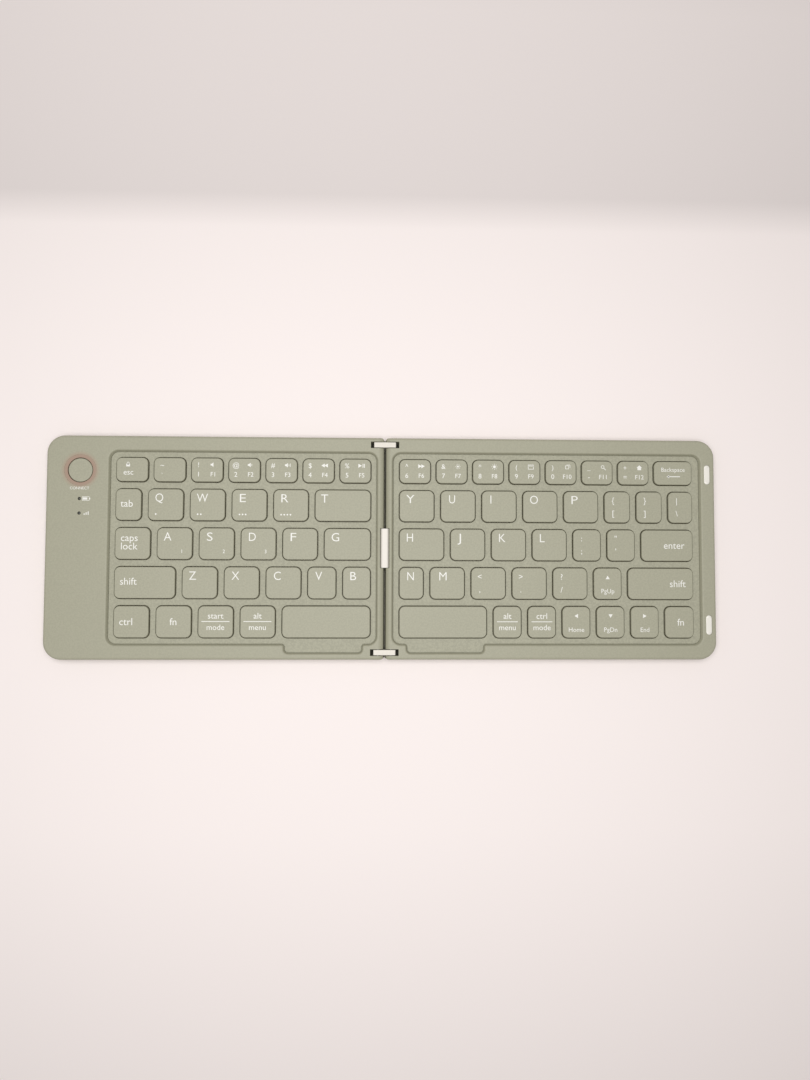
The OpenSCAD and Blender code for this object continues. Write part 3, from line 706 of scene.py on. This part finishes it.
repainted(grained("stamped_plate", (0.6, 0.61, 0.63), 0.35, 1.0, 900, 0.08, 0.2),
          "left_key_plate", "right_key_plate")
repainted(grained("printed_film", (0.36, 0.32, 0.2), 0.4, 0.0, 400, 0.05, 0.1),
          "left_key_membrane", "right_key_membrane")
repainted(grained("silicone", (0.62, 0.62, 0.58), 0.45, 0.0, 600, 0.06, 0.2),
          "left_rubber_domes", "right_rubber_domes")
repainted(grained("white_acetal", (0.7, 0.7, 0.66), 0.4, 0.0, 800, 0.05, 0.15),
          "left_scissor_links", "right_scissor_links")

# Keycaps: flat-topped island caps in the frame's plastic, a little smoother than the deck. One tree makes
# a cap of any size: a rounded outline is filled and raised to the key's height, and its edges are softened.
SKIRT = 4.65
KEY_TOP = 6.5
KEY_GAP = 0.42
CAP_EDGE = 0.32
KEY_PLASTIC = sage_plastic("sage_keycap", (0.382, 0.373, 0.277), (0.4, 0.39, 0.292), speck=0.05, grain=0.15)


def rounded_block_tree():
    """A block with a rounded outline, from its width, depth, height, corner radius and foot level."""
    tree = bpy.data.node_groups.new("rounded_block", "GeometryNodeTree")
    for name, value in (("Width", 0.0156), ("Depth", 0.0142), ("Height", 0.0018),
                        ("Corner Radius", 0.0024), ("Foot", 0.0)):
        socket = tree.interface.new_socket(name=name, in_out="INPUT", socket_type="NodeSocketFloat")
        socket.default_value = value
    tree.interface.new_socket(name="Material", in_out="INPUT", socket_type="NodeSocketMaterial")
    tree.interface.new_socket(name="Geometry", in_out="OUTPUT", socket_type="NodeSocketGeometry")
    given = node(tree, "NodeGroupInput").outputs
    plan = node(tree, "GeometryNodeCurvePrimitiveQuadrilateral", {
        "Width": given["Width"], "Height": given["Depth"]})
    corners = node(tree, "GeometryNodeFilletCurve", {
        "Curve": plan.outputs["Curve"], "Count": 8, "Radius": given["Corner Radius"]}, mode="POLY")
    face = node(tree, "GeometryNodeFillCurve", {"Curve": corners.outputs["Curve"]}, mode="NGONS")
    rise = node(tree, "ShaderNodeCombineXYZ", {"Z": given["Height"]})
    raised = node(tree, "GeometryNodeExtrudeMesh", {
        "Mesh": face.outputs["Mesh"], "Offset": rise.outputs["Vector"], "Individual": False})
    turned = node(tree, "GeometryNodeFlipFaces", {"Mesh": face.outputs["Mesh"]})
    whole = node(tree, "GeometryNodeJoinGeometry", {"Geometry": turned.outputs["Mesh"]})
    tree.links.new(raised.outputs["Mesh"], whole.inputs["Geometry"])
    welded = node(tree, "GeometryNodeMergeByDistance", {
        "Geometry": whole.outputs["Geometry"], "Distance": 1e-6})
    lift = node(tree, "ShaderNodeCombineXYZ", {"Z": given["Foot"]})
    placed = node(tree, "GeometryNodeTransform", {
        "Geometry": welded.outputs["Geometry"], "Translation": lift.outputs["Vector"]})
    real = node(tree, "GeometryNodeRealizeInstances", {"Geometry": placed.outputs["Geometry"]})
    painted = node(tree, "GeometryNodeSetMaterial", {
        "Geometry": real.outputs["Geometry"], "Material": given["Material"]})
    node(tree, "NodeGroupOutput", {"Geometry": painted.outputs["Geometry"]})
    return tree


ROUNDED_BLOCK = rounded_block_tree()


def rounded_block(width, depth, height, radius, foot, edge, material):
    """A mesh from the tree, with its edges softened."""
    holder = bpy.data.objects.new("block", bpy.data.meshes.new("block"))
    scene.collection.objects.link(holder)
    maker = holder.modifiers.new("maker", "NODES")
    maker.node_group = ROUNDED_BLOCK
    items = ROUNDED_BLOCK.interface.items_tree
    sockets = {item.name: item.identifier for item in items if item.in_out == "INPUT"}
    sizes = {"Width": width, "Depth": depth, "Height": height, "Corner Radius": radius, "Foot": foot}
    for name, value in sizes.items():
        maker[sockets[name]] = value * MM
    maker[sockets["Material"]] = material
    softened = holder.modifiers.new("softened", "BEVEL")
    softened.width = edge * MM
    softened.segments = 4
    softened.limit_method = "ANGLE"
    softened.angle_limit = math.radians(50)
    bpy.context.view_layer.update()
    mesh = bpy.data.meshes.new_from_object(holder.evaluated_get(bpy.context.evaluated_depsgraph_get()))
    bpy.data.objects.remove(holder)
    return mesh


# Each group's half, row, first key and last key, counted from the left and from the rear.
KEY_GROUPS = {
    "left_number_keys": (LEFT, 0, 0, 6), "tab_key": (LEFT, 1, 0, 0),
    "left_top_row_keys": (LEFT, 1, 1, 5), "caps_lock_key": (LEFT, 2, 0, 0),
    "left_home_row_keys": (LEFT, 2, 1, 5), "left_shift_key": (LEFT, 3, 0, 0),
    "left_bottom_row_keys": (LEFT, 3, 1, 5), "left_ctrl_key": (LEFT, 4, 0, 0),
    "left_fn_key": (LEFT, 4, 1, 1), "start_key": (LEFT, 4, 2, 2), "left_alt_key": (LEFT, 4, 3, 3),
    "left_space_key": (LEFT, 4, 4, 4), "right_number_keys": (RIGHT, 0, 0, 6),
    "backspace_key": (RIGHT, 0, 7, 7), "right_top_row_keys": (RIGHT, 1, 0, 4),
    "right_bracket_keys": (RIGHT, 1, 5, 7), "right_home_row_keys": (RIGHT, 2, 0, 5),
    "enter_key": (RIGHT, 2, 6, 6), "right_bottom_row_keys": (RIGHT, 3, 0, 4),
    "up_arrow_key": (RIGHT, 3, 5, 5), "right_shift_key": (RIGHT, 3, 6, 6),
    "right_space_key": (RIGHT, 4, 0, 0), "right_alt_key": (RIGHT, 4, 1, 1),
    "right_ctrl_key": (RIGHT, 4, 2, 2), "left_arrow_key": (RIGHT, 4, 3, 3),
    "down_arrow_key": (RIGHT, 4, 4, 4), "right_arrow_key": (RIGHT, 4, 5, 5),
    "right_fn_key": (RIGHT, 4, 6, 6),
}


def keys_of(group):
    """The openings of a group's keys."""
    side, row, first, last = KEY_GROUPS[group]
    return key_openings(side, row)[first:last + 1]


def joined(name, meshes):
    """Several meshes as one."""
    build = bmesh.new()
    for mesh in meshes:
        build.from_mesh(mesh)
        bpy.data.meshes.remove(mesh)
    return to_mesh(name, build)


def keycaps(group):
    """The caps of one group, joined in one mesh, because they move together."""
    caps = []
    for x, width, y, depth in keys_of(group):
        cap = rounded_block(
            width - 2 * KEY_GAP, depth - 2 * KEY_GAP, KEY_TOP - SKIRT, OPENING_RADIUS - KEY_GAP, SKIRT,
            CAP_EDGE, KEY_PLASTIC)
        cap.transform(Matrix.Translation(((x + width / 2) * MM, y * MM, 0)))
        caps.append(cap)
    piece = shaded(new_piece(group + "_caps", joined(group, caps), KEY_PLASTIC))
    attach(piece, group)
    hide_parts(group)


for group in KEY_GROUPS:
    keycaps(group)

# Legends: white ink, pad printed on the key tops in a plain sans face. Only plain characters, key words
# and simple signs are printed. Places are measured from the left and rear edges of each key's opening.
# The capitals are wider or narrower than the plain face's by their share, and a little thinner.
INK_RISE = 0.012
CAPITAL_SHARE = 0.73
BIG, WORD, SYMBOL, FUNCTION, TINY = 4.05, 3.3, 2.7, 2.3, 2.15
CAPITAL_WIDTH = {
    "Q": 0.88, "W": 0.88, "E": 1.28, "R": 1.12, "T": 1.03, "A": 0.94, "S": 1.25, "D": 0.91, "F": 1.3,
    "G": 1.02, "X": 0.92, "C": 0.93, "V": 0.95, "B": 1.05, "Y": 1.18, "U": 0.86, "O": 0.92, "P": 1.27,
    "H": 0.9, "J": 1.3, "K": 0.95, "L": 1.0, "N": 0.86, "M": 0.97, "Z": 0.95, "I": 0.9}
CAPITAL_THINNER = 0.035
CAPITAL_Y = 4.15
DOT_RADIUS = 0.38
DOT_PLACE, DOT_STEP = (3.8, 11.8), 1.4
DIGIT_PLACE, DIGIT_HEIGHT = (11.5, 10.9), 1.7
LINE_STEP = 3.8
SIGN_X, SIGN_UPPER, SIGN_LOWER = 4.2, 4.3, 10.2
NUMBER_COLUMNS, NUMBER_ROWS = (3.6, 10.3), (3.4, 7.7)
FUNCTION_SHARE = 0.92
RULE_Y, RULE_MARGIN, RULE_THICK = 7.3, 1.9, 0.32
OVER_Y, OVER_HEIGHT = 4.6, 2.8
UNDER_Y, UNDER_HEIGHT = 9.8, 2.6
ARROW, ARROW_Y, ARROW_NAME_Y = 1.9, 4.6, 10.8
ICON_SCALE = 1.3
ICON_LINE = 0.18
PLAY = 1.4


def white_ink():
    """Pad printing is a little uneven, so the ink's tone varies."""
    material, shader = new_material("white_ink", (0.86, 0.85, 0.8), 0.45)
    tree = material.node_tree
    tone = blended(tree, object_noise(tree, 2500.0), (0.8, 0.79, 0.73), (0.92, 0.91, 0.87))
    tree.links.new(tone, shader.inputs["Base Color"])
    return material


INK = white_ink()


def text_mesh(body, height, align):
    """Lettering of a given capital height, its left, middle or right at the origin, centred up and down."""
    curve = bpy.data.curves.new("lettering", "FONT")
    curve.body = body
    curve.size = height / CAPITAL_SHARE * MM
    curve.align_x = align
    curve.extrude = INK_RISE / 2 * MM
    curve.offset = -CAPITAL_THINNER * MM if body in CAPITAL_WIDTH else 0.0
    curve.resolution_u = 3
    holder = bpy.data.objects.new("lettering", curve)
    scene.collection.objects.link(holder)
    bpy.context.view_layer.update()
    mesh = bpy.data.meshes.new_from_object(holder.evaluated_get(bpy.context.evaluated_depsgraph_get()))
    bpy.data.objects.remove(holder)
    bpy.data.curves.remove(curve)
    mesh.transform(Matrix.Translation((0, -height / 2 * MM, 0)))
    mesh.transform(Matrix.Diagonal((CAPITAL_WIDTH.get(body, 1.0), 1, 1, 1)))
    return mesh


def printed(build, mesh, x, y, z):
    """Adds a flat mark to the print, at a place on the surface at height z."""
    mesh.transform(Matrix.Translation((x * MM, y * MM, (z + INK_RISE / 2) * MM)))
    build.from_mesh(mesh)
    bpy.data.meshes.remove(mesh)


def mark_mesh(outer, holes=()):
    """A flat printed shape from its outline, with or without holes."""
    levels = [(0, -INK_RISE / 2), (0, INK_RISE / 2)]
    return to_mesh("mark", moulding(outer, holes, levels, levels))


def polygon_mesh(*corners):
    """A printed shape with straight sides."""
    return mark_mesh(filleted_loop([(x, y, 0) for x, y in corners]))


def bar_mesh(width, height):
    """A printed bar about the origin."""
    w, h = width / 2, height / 2
    return polygon_mesh((-w, -h), (w, -h), (w, h), (-w, h))


def ring_mesh(radius, inner, steps=20):
    """A printed ring, or a dot when inner is 0."""
    return mark_mesh(circle_loop(0, 0, radius, steps), [circle_loop(0, 0, inner, steps)] if inner else [])


def triangle_mesh(size, quarter_turns):
    """A printed arrow head that points right, turned by quarter turns."""
    mesh = polygon_mesh((-size * 0.42, -size / 2), (size * 0.45, 0), (-size * 0.42, size / 2))
    mesh.transform(Matrix.Rotation(math.pi / 2 * quarter_turns, 4, "Z"))
    return mesh


def text(body, x, y, height, align="CENTER"):
    """One piece of lettering in a legend."""
    return ("text", x, y, body, height, align)


def letter(capital, dots=0, digit=None, left=3.3):
    """A capital at the upper left, with a row of dots or a small digit on some keys."""
    marks = [text(capital, left, CAPITAL_Y, BIG, "LEFT")]
    marks += [("dot", DOT_PLACE[0] + DOT_STEP * i, DOT_PLACE[1]) for i in range(dots)]
    if digit:
        marks.append(text(digit, *DIGIT_PLACE, DIGIT_HEIGHT))
    return marks


def word(*lines, middle=7.3, left=2.8, align="LEFT"):
    """Words on one or two lines."""
    first = middle - LINE_STEP / 2 * (len(lines) - 1)
    return [text(line, left, first + LINE_STEP * i, WORD, align) for i, line in enumerate(lines)]


def pair(upper, lower):
    """The shifted sign above the plain one."""
    return [text(upper, SIGN_X, SIGN_UPPER, SYMBOL), text(lower, SIGN_X, SIGN_LOWER, SYMBOL)]


def number(symbol, digit, function, icon):
    """A number key: sign over digit on the left, icon over function number on the right."""
    near, far = NUMBER_COLUMNS
    upper, lower = NUMBER_ROWS
    return [text(symbol, near, upper, FUNCTION), text(digit, near, lower, FUNCTION),
            text(function, far, lower, FUNCTION * FUNCTION_SHARE), (icon, far, upper)]


def over_line(upper, lower, width):
    """A word over a rule, with a second function under it."""
    middle = width / 2
    return [text(upper, middle, OVER_Y, OVER_HEIGHT), text(lower, middle, UNDER_Y, UNDER_HEIGHT),
            ("rule", middle, RULE_Y, width - 2 * RULE_MARGIN, RULE_THICK)]


def arrow(turns, name):
    """An arrow head over the name of its second function."""
    return [("arrow", SMALL / 2, ARROW_Y, turns), text(name, SMALL / 2, ARROW_NAME_Y, TINY)]


LEGENDS = {
    (LEFT, 0): [
        [("padlock", 5.6, 3.4), text("esc", 5.8, 6.9, 2.6)],
        [text("~", 4.1, 3.6, FUNCTION), text("`", 4.1, 8.2, FUNCTION)],
        number("!", "1", "F1", "sound_off"), number("@", "2", "F2", "sound_low"),
        number("#", "3", "F3", "sound_high"), number("$", "4", "F4", "play_back"),
        number("%", "5", "F5", "play_pause")],
    (LEFT, 1): [
        word("tab", middle=6.9, left=2.5), letter("Q", 1), letter("W", 2), letter("E", 3), letter("R", 4),
        letter("T", left=2.9)],
    (LEFT, 2): [
        word("caps", "lock", middle=6.7), letter("A", digit="1"), letter("S", digit="2", left=3.5),
        letter("D", digit="3", left=3.5), letter("F"), letter("G")],
    (LEFT, 3): [
        word("shift", middle=6.8), letter("Z"), letter("X", left=3.6), letter("C", left=3.6),
        letter("V", left=3.7), letter("B")],
    (LEFT, 4): [
        word("ctrl"), word("fn", left=LETTER / 2, align="CENTER"), over_line("start", "mode", LETTER),
        over_line("alt", "menu", LETTER), []],
    (RIGHT, 0): [
        number("^", "6", "F6", "play_on"), number("&", "7", "F7", "sun"),
        number("*", "8", "F8", "sun_high"), number("(", "9", "F9", "window"),
        number(")", "0", "F10", "windows"), number("_", "-", "F11", "magnifier"),
        number("+", "=", "F12", "house"), [text("Backspace", 9.2, 4.1, 2.0), ("back_arrow", 9.4, 7.4)]],
    (RIGHT, 1): [
        letter("Y"), letter("U", left=3.8), letter("I", left=3.8), letter("O"), letter("P"), pair("{", "["),
        pair("}", "]"), pair("|", "\\")],
    (RIGHT, 2): [
        letter("H"), letter("J", left=3.9), letter("K"), letter("L"), pair(":", ";"), pair("\"", "'"),
        word("enter", left=20.5, align="RIGHT")],
    (RIGHT, 3): [
        letter("N", left=3.6), letter("M", left=4.1), pair("<", ","), pair(">", "."), pair("?", "/"),
        arrow(1, "PgUp"), word("shift", left=27.2, align="RIGHT")],
    (RIGHT, 4): [
        [], over_line("alt", "menu", SMALL), over_line("ctrl", "mode", SMALL), arrow(2, "Home"),
        arrow(3, "PgDn"), arrow(0, "End"), word("fn", left=SMALL / 2 + 0.9, align="CENTER")],
}


def speaker(waves):
    """A loudspeaker with up to two sound bars."""
    body = polygon_mesh((-1.0, -0.3), (-0.6, -0.3), (0.0, -0.8), (0.0, 0.8), (-0.6, 0.3), (-1.0, 0.3))
    bars = [(bar_mesh(ICON_LINE, 0.7 + 0.5 * i), 0.4 + 0.45 * i, 0) for i in range(waves)]
    return [(body, 0, 0)] + bars


def play(turns, *places):
    """Arrow heads in a row."""
    return [(triangle_mesh(PLAY, turns), x, 0) for x in places]


def sun(radius):
    """A bright spot with eight rays."""
    marks = [(ring_mesh(radius, 0, 14), 0, 0)]
    reach = radius + 0.4
    for k in range(8):
        ray = bar_mesh(0.35, 0.16)
        ray.transform(Matrix.Rotation(math.pi / 4 * k, 4, "Z"))
        marks.append((ray, reach * math.cos(math.pi / 4 * k), reach * math.sin(math.pi / 4 * k)))
    return marks


def window_frame(width, height):
    """An upright rectangle drawn in outline."""
    side_x = width / 2 - ICON_LINE / 2
    return [(bar_mesh(width, ICON_LINE), 0, height / 2), (bar_mesh(width, ICON_LINE), 0, -height / 2),
            (bar_mesh(ICON_LINE, height - ICON_LINE), -side_x, 0),
            (bar_mesh(ICON_LINE, height - ICON_LINE), side_x, 0)]


def magnifier():
    """A ring with a slanting handle."""
    handle = bar_mesh(0.9, 0.22)
    handle.transform(Matrix.Rotation(-math.pi / 4, 4, "Z"))
    return [(ring_mesh(0.6, 0.42), -0.2, 0.2), (handle, 0.55, -0.55)]


ICONS = {
    "sound_off": lambda: speaker(0),
    "sound_low": lambda: speaker(1),
    "sound_high": lambda: speaker(2),
    "play_back": lambda: play(2, 0.5, -0.6),
    "play_on": lambda: play(0, -0.5, 0.6),
    "play_pause": lambda: play(0, -0.6) + [(bar_mesh(0.25, PLAY), x, 0) for x in (0.45, 0.95)],
    "sun": lambda: sun(0.32),
    "sun_high": lambda: sun(0.5),
    "window": lambda: window_frame(2.0, 1.5) + [(bar_mesh(2.0, ICON_LINE), 0, 0.35)],
    "windows": lambda: window_frame(1.3, 1.1) + [
        (bar_mesh(1.3, 0.16), 0.45, 0.85), (bar_mesh(0.16, 1.1), 1.05, 0.35)],
    "magnifier": magnifier,
    "house": lambda: [
        (polygon_mesh((-1.0, 0.0), (1.0, 0.0), (0.0, 0.95)), 0, 0), (bar_mesh(1.3, 0.8), 0, -0.4)],
    "padlock": lambda: [(bar_mesh(1.3, 0.95), 0, -0.35), (ring_mesh(0.48, 0.3), 0, 0.3)],
    "back_arrow": lambda: [(triangle_mesh(1.1, 2), -2.0, 0), (bar_mesh(4.4, 0.3), 0.2, 0)],
}


def mark_meshes(kind, *sizes):
    """The meshes of one mark, with their offsets from its place."""
    if kind == "text":
        return [(text_mesh(*sizes), 0, 0)]
    if kind == "dot":
        return [(ring_mesh(DOT_RADIUS, 0, 12), 0, 0)]
    if kind == "rule":
        return [(bar_mesh(*sizes), 0, 0)]
    if kind == "arrow":
        return [(triangle_mesh(ARROW, *sizes), 0, 0)]
    meshes = ICONS[kind]()
    for mesh, _, _ in meshes:
        mesh.transform(Matrix.Diagonal((ICON_SCALE, ICON_SCALE, 1, 1)))
    return [(mesh, ICON_SCALE * dx, ICON_SCALE * dy) for mesh, dx, dy in meshes]


def legends(group):
    """The print on one group of keys."""
    side, row, first, last = KEY_GROUPS[group]
    build = bmesh.new()
    for marks, (x, width, y, depth) in zip(LEGENDS[side, row][first:last + 1], keys_of(group)):
        for kind, mark_x, mark_y, *sizes in marks:
            for mesh, dx, dy in mark_meshes(kind, *sizes):
                printed(build, mesh, x + mark_x + dx, y + depth / 2 - mark_y + dy, KEY_TOP)
    if not build.verts:
        build.free()
        return
    bmesh.ops.remove_doubles(build, verts=build.verts, dist=1e-7)
    piece = new_piece(group + "_legends", to_mesh(group + "_legends", build), INK)
    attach(piece, group)


for group in KEY_GROUPS:
    legends(group)

# Hinge links: two short bars of bright satin metal, one near each end of the gap. Each turns on two steel
# pins, one in either half, so the keyboard folds about two lines and closes with its keys inside.
LINK_HALF = 5.05
LINK_WIDTH = 2.4
LINK_LOW = 2.75
LINK_LOW_RADIUS, LINK_TOP_RADIUS = 1.0, 0.3
LINK_SOFT = ((0.12, 0), (0.03, 0.04), (0, 0.12))


def satin_metal(name, base, roughness, scale=(3000, 300, 3000), metallic=1.0):
    """Bright metal with fine drawn lines along the part; white-looking plating is less metallic."""
    material, shader = new_material(name, base, roughness, metallic)
    tree = material.node_tree
    place = node(tree, "ShaderNodeTexCoord")
    stretch = node(tree, "ShaderNodeMapping", {"Vector": place.outputs["Object"], "Scale": scale})
    lines = node(tree, "ShaderNodeTexNoise", {"Vector": stretch.outputs["Vector"], "Scale": 1.0})
    sheen(tree, shader, lines.outputs["Fac"], roughness - 0.06, roughness + 0.08)
    relief(tree, shader, lines.outputs["Fac"], 0.1, 0.00002)
    return material


BRIGHT_METAL = satin_metal("satin_link", (0.68, 0.64, 0.57), 0.5, metallic=0.2)
STEEL = satin_metal("turned_steel", (0.56, 0.57, 0.58), 0.35)


def hinge_link(name, y):
    """One link, drawn as its side view and extruded to its width."""
    low, top = LINK_LOW_RADIUS, LINK_TOP_RADIUS
    loop = filleted_loop([
        (-LINK_HALF, LINK_LOW, low), (LINK_HALF, LINK_LOW, low), (LINK_HALF, CASE_TOP, top),
        (-LINK_HALF, CASE_TOP, top)])
    half = LINK_WIDTH / 2
    rows = [(inset, -half + depth) for inset, depth in LINK_SOFT]
    rows += [(inset, half - depth) for inset, depth in reversed(LINK_SOFT)]
    mesh = to_mesh(name, moulding(loop, [], rows), Matrix.Translation((0, y * MM, 0)) @ UPRIGHT)
    piece = shaded(new_piece(name + "_bar", mesh, BRIGHT_METAL))
    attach(piece, "hinge_links")
    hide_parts(name)


hinge_link("rear_hinge_link", SLOT_MIDDLE)
hinge_link("front_hinge_link", -SLOT_MIDDLE)
repainted(STEEL, "hinge_pins", "left_hinge_brackets", "right_hinge_brackets")

# Flat cable: many fine wires in one ribbon, wrapped in silver shielding film. It rises between the notches
# in a low arch, which gives it the slack to lie flat across the spine when the keyboard closes.
CABLE_HALF = 1.9
CABLE_TOP = 6.6
CABLE_FOOT = 2.25
CABLE_REACH = 5.4
CABLE_THICK = 0.3
CABLE_WIDTH = 17.9
CABLE_FOLD, CABLE_INNER_BEND, CABLE_OUTER_BEND = 0.1, 0.8, 1.1


def cable_loop():
    """The ribbon's side view: feet, legs and arch, all one thickness."""
    out, low, top, end = CABLE_HALF, CABLE_FOOT, CABLE_TOP, CABLE_REACH
    inner, foot_top, roof = out - CABLE_THICK, low + CABLE_THICK, top - CABLE_THICK
    fold, inner_bend, outer_bend = CABLE_FOLD, CABLE_INNER_BEND, CABLE_OUTER_BEND
    return filleted_loop([
        (-end, low, 0), (-inner, low, fold), (-inner, roof, inner_bend), (inner, roof, inner_bend),
        (inner, low, fold), (end, low, 0), (end, foot_top, 0), (out, foot_top, fold),
        (out, top, outer_bend), (-out, top, outer_bend), (-out, foot_top, fold), (-end, foot_top, 0)], 8)


def flat_cable():
    """The ribbon between the halves."""
    half = CABLE_WIDTH / 2
    build = moulding(cable_loop(), [], [(0, -half), (0, half)])
    film = satin_metal("shielding_film", (0.79, 0.745, 0.685), 0.55, (300, 2000, 300), 0.1)
    piece = shaded(new_piece("flat_cable", to_mesh("flat_cable", build, UPRIGHT), film))
    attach(piece, "hinge_links")
    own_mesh(piece)
    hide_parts("flex_cable")


flat_cable()

# Connect button: a round cap level with the panel, in a thin plastic ring whose red glow, while the
# keyboard looks for its partner, is painted into its colour and the rim's. Two smoked lenses under it show
# charge and contact.
BUTTON_X, BUTTON_Y = -BUTTON_PLACE[0], BUTTON_PLACE[1]
BUTTON_RADIUS = 5.4
BUTTON_TOP = 6.9
BUTTON_EDGE = 0.35
FLANGE = 1.0
FLANGE_LOW, FLANGE_TOP = 4.45, 4.85
RING_INNER = 5.65
RING_EDGE = 0.15
RING_SPARE = 0.02
RING_TOP = CASE_TOP - 0.01
PANEL_INSIDE = DECK_TOP - 0.4
ROUND_STEPS = 64
LENS_EDGE = 0.4
CONNECT_HEIGHT = 1.3
CONNECT_PLACE = (-0.2, -8.2)
BATTERY_X, SIGNAL_X = 2.9, 2.3


def connect_button():
    """The cap, with the flange that keeps it in the case."""
    rows = [(-FLANGE, FLANGE_LOW), (-FLANGE, FLANGE_TOP), (0, FLANGE_TOP + 0.01)]
    rows += soft_edge(BUTTON_EDGE, BUTTON_TOP)
    build = moulding(circle_loop(BUTTON_X, BUTTON_Y, BUTTON_RADIUS, ROUND_STEPS), [], rows)
    piece = shaded(new_piece("connect_button_cap", to_mesh("connect_button", build), KEY_PLASTIC))
    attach(piece, "connect_button")
    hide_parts("connect_button")


def light_ring():
    """The ring round the button, with its light from inside painted into its colour."""
    outer_rows = [(0, PANEL_INSIDE), (0, RING_TOP - 0.02), (0.02, RING_TOP)]
    inner_rows = [(0, PANEL_INSIDE)] + soft_edge(RING_EDGE, RING_TOP, 3)
    outer = circle_loop(BUTTON_X, BUTTON_Y, RING_OUTER - RING_SPARE, ROUND_STEPS)
    inner = circle_loop(BUTTON_X, BUTTON_Y, RING_INNER, ROUND_STEPS)
    build = moulding(outer, [inner], outer_rows, inner_rows)
    lit = painted_button_glow(sage_plastic("ring_painted_glow", SAGE, SAGE_LIGHT), PAINTED_GLOW_DEEP)
    piece = shaded(new_piece("button_glow_ring", to_mesh("button_glow_ring", build), lit))
    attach(piece, "left_half")
    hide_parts("button_light_ring")


def indicator_lenses():
    """Two small smoked domes in the panel."""
    smoked, _ = new_material("smoked_lens", (0.06, 0.06, 0.05), 0.3)
    rows = [(0, PANEL_INSIDE)] + soft_edge(LENS_EDGE, CASE_TOP, 6)
    lenses = [to_mesh("lens", moulding(circle_loop(-x, y, LENS_RADIUS, 24), [], rows))
              for x, y in LENS_PLACES]
    piece = shaded(new_piece("indicator_lens_pair", joined("lenses", lenses), smoked))
    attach(piece, "left_half")
    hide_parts("indicator_lenses")


def panel_marks():
    """A plain word under the button and a small sign beside each lens: a battery and signal bars."""
    marks = bmesh.new()
    connect = text_mesh("CONNECT", CONNECT_HEIGHT, "CENTER")
    printed(marks, connect, BUTTON_X + CONNECT_PLACE[0], BUTTON_Y + CONNECT_PLACE[1], CASE_TOP)
    (charge_x, charge_y), (signal_x, signal_y) = LENS_PLACES
    battery = window_frame(3.2, 1.7) + [(bar_mesh(0.35, 0.8), 1.8, 0), (bar_mesh(2.0, 1.0), -0.3, 0)]
    for mesh, dx, dy in battery:
        printed(marks, mesh, BATTERY_X - charge_x + dx, charge_y + dy, CASE_TOP)
    for k in range(3):
        bar = bar_mesh(0.4, 0.7 + 0.45 * k)
        printed(marks, bar, SIGNAL_X - signal_x + 0.9 * k, signal_y - 0.45 + 0.22 * k, CASE_TOP)
    piece = new_piece("panel_marks", to_mesh("panel_marks", marks), INK)
    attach(piece, "left_half")


connect_button()
light_ring()
indicator_lenses()
panel_marks()

# Closing magnets: nickel plated ovals set flush in the right rim. Their partners are glued under the left
# panel, where they don't show.
MAGNET_LOW = 5.75
MAGNET_TOP = CASE_TOP - 0.05
MAGNET_EDGE = 0.2
NICKEL = satin_metal("nickel_plate", (0.9, 0.87, 0.8), 0.5, (300, 300, 300), 0.35)


def closing_magnets():
    """The two ovals that show."""
    rows = [(0, MAGNET_LOW)] + soft_edge(MAGNET_EDGE, MAGNET_TOP, 3)
    magnets = [to_mesh("magnet", moulding(magnet_loop(x, y, 0), [], rows)) for x, y in MAGNET_PLACES]
    piece = shaded(new_piece("right_closing_magnets", joined("magnets", magnets), NICKEL))
    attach(piece, "right_half")
    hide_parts("right_magnets")


closing_magnets()
repainted(NICKEL, "left_magnets")

# Feet and screws: soft black rubber pads glued into the covers, and small zinc plated cross-head screws
# beside them, which hold the frames to the covers from below.
FOOT_HEIGHT = 0.9
FOOT_EDGE = 0.2
FOOT_RADIUS = FOOT_SIZE[1] / 2 - 0.01
FOOT_RUBBER = grained("foot_rubber", (0.03, 0.03, 0.03), 0.8, 0.0, 1500, 0.3, 0.6)


def feet(side, name):
    """The four pads under one half, from the same tree as the keycaps."""
    pads = []
    for x, y in FOOT_PLACES:
        pad = rounded_block(*FOOT_SIZE, FOOT_HEIGHT, FOOT_RADIUS, 0, FOOT_EDGE, FOOT_RUBBER)
        pad.transform(Matrix.Translation((side * x * MM, y * MM, 0)))
        pads.append(pad)
    piece = shaded(new_piece(name + "_pads", joined(name, pads), FOOT_RUBBER))
    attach(piece, HALF[side])
    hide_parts(name)


feet(LEFT, "left_feet")
feet(RIGHT, "right_feet")
repainted(satin_metal("zinc_screw", (0.42, 0.42, 0.44), 0.4), "left_case_screws", "right_case_screws")

# Electronics under the left panel: a pouch battery, the board with its switch, and the charging
# socket in the left edge. Only the socket's mouth shows.
repainted(grained("pouch_foil", (0.6, 0.61, 0.62), 0.4, 1.0, 300, 0.06, 0.5), "battery")
repainted(grained("solder_mask", (0.03, 0.14, 0.07), 0.35, 0.0, 700, 0.2, 0.3), "circuit_board")
repainted(satin_metal("socket_shell", (0.62, 0.62, 0.64), 0.3), "charging_socket")
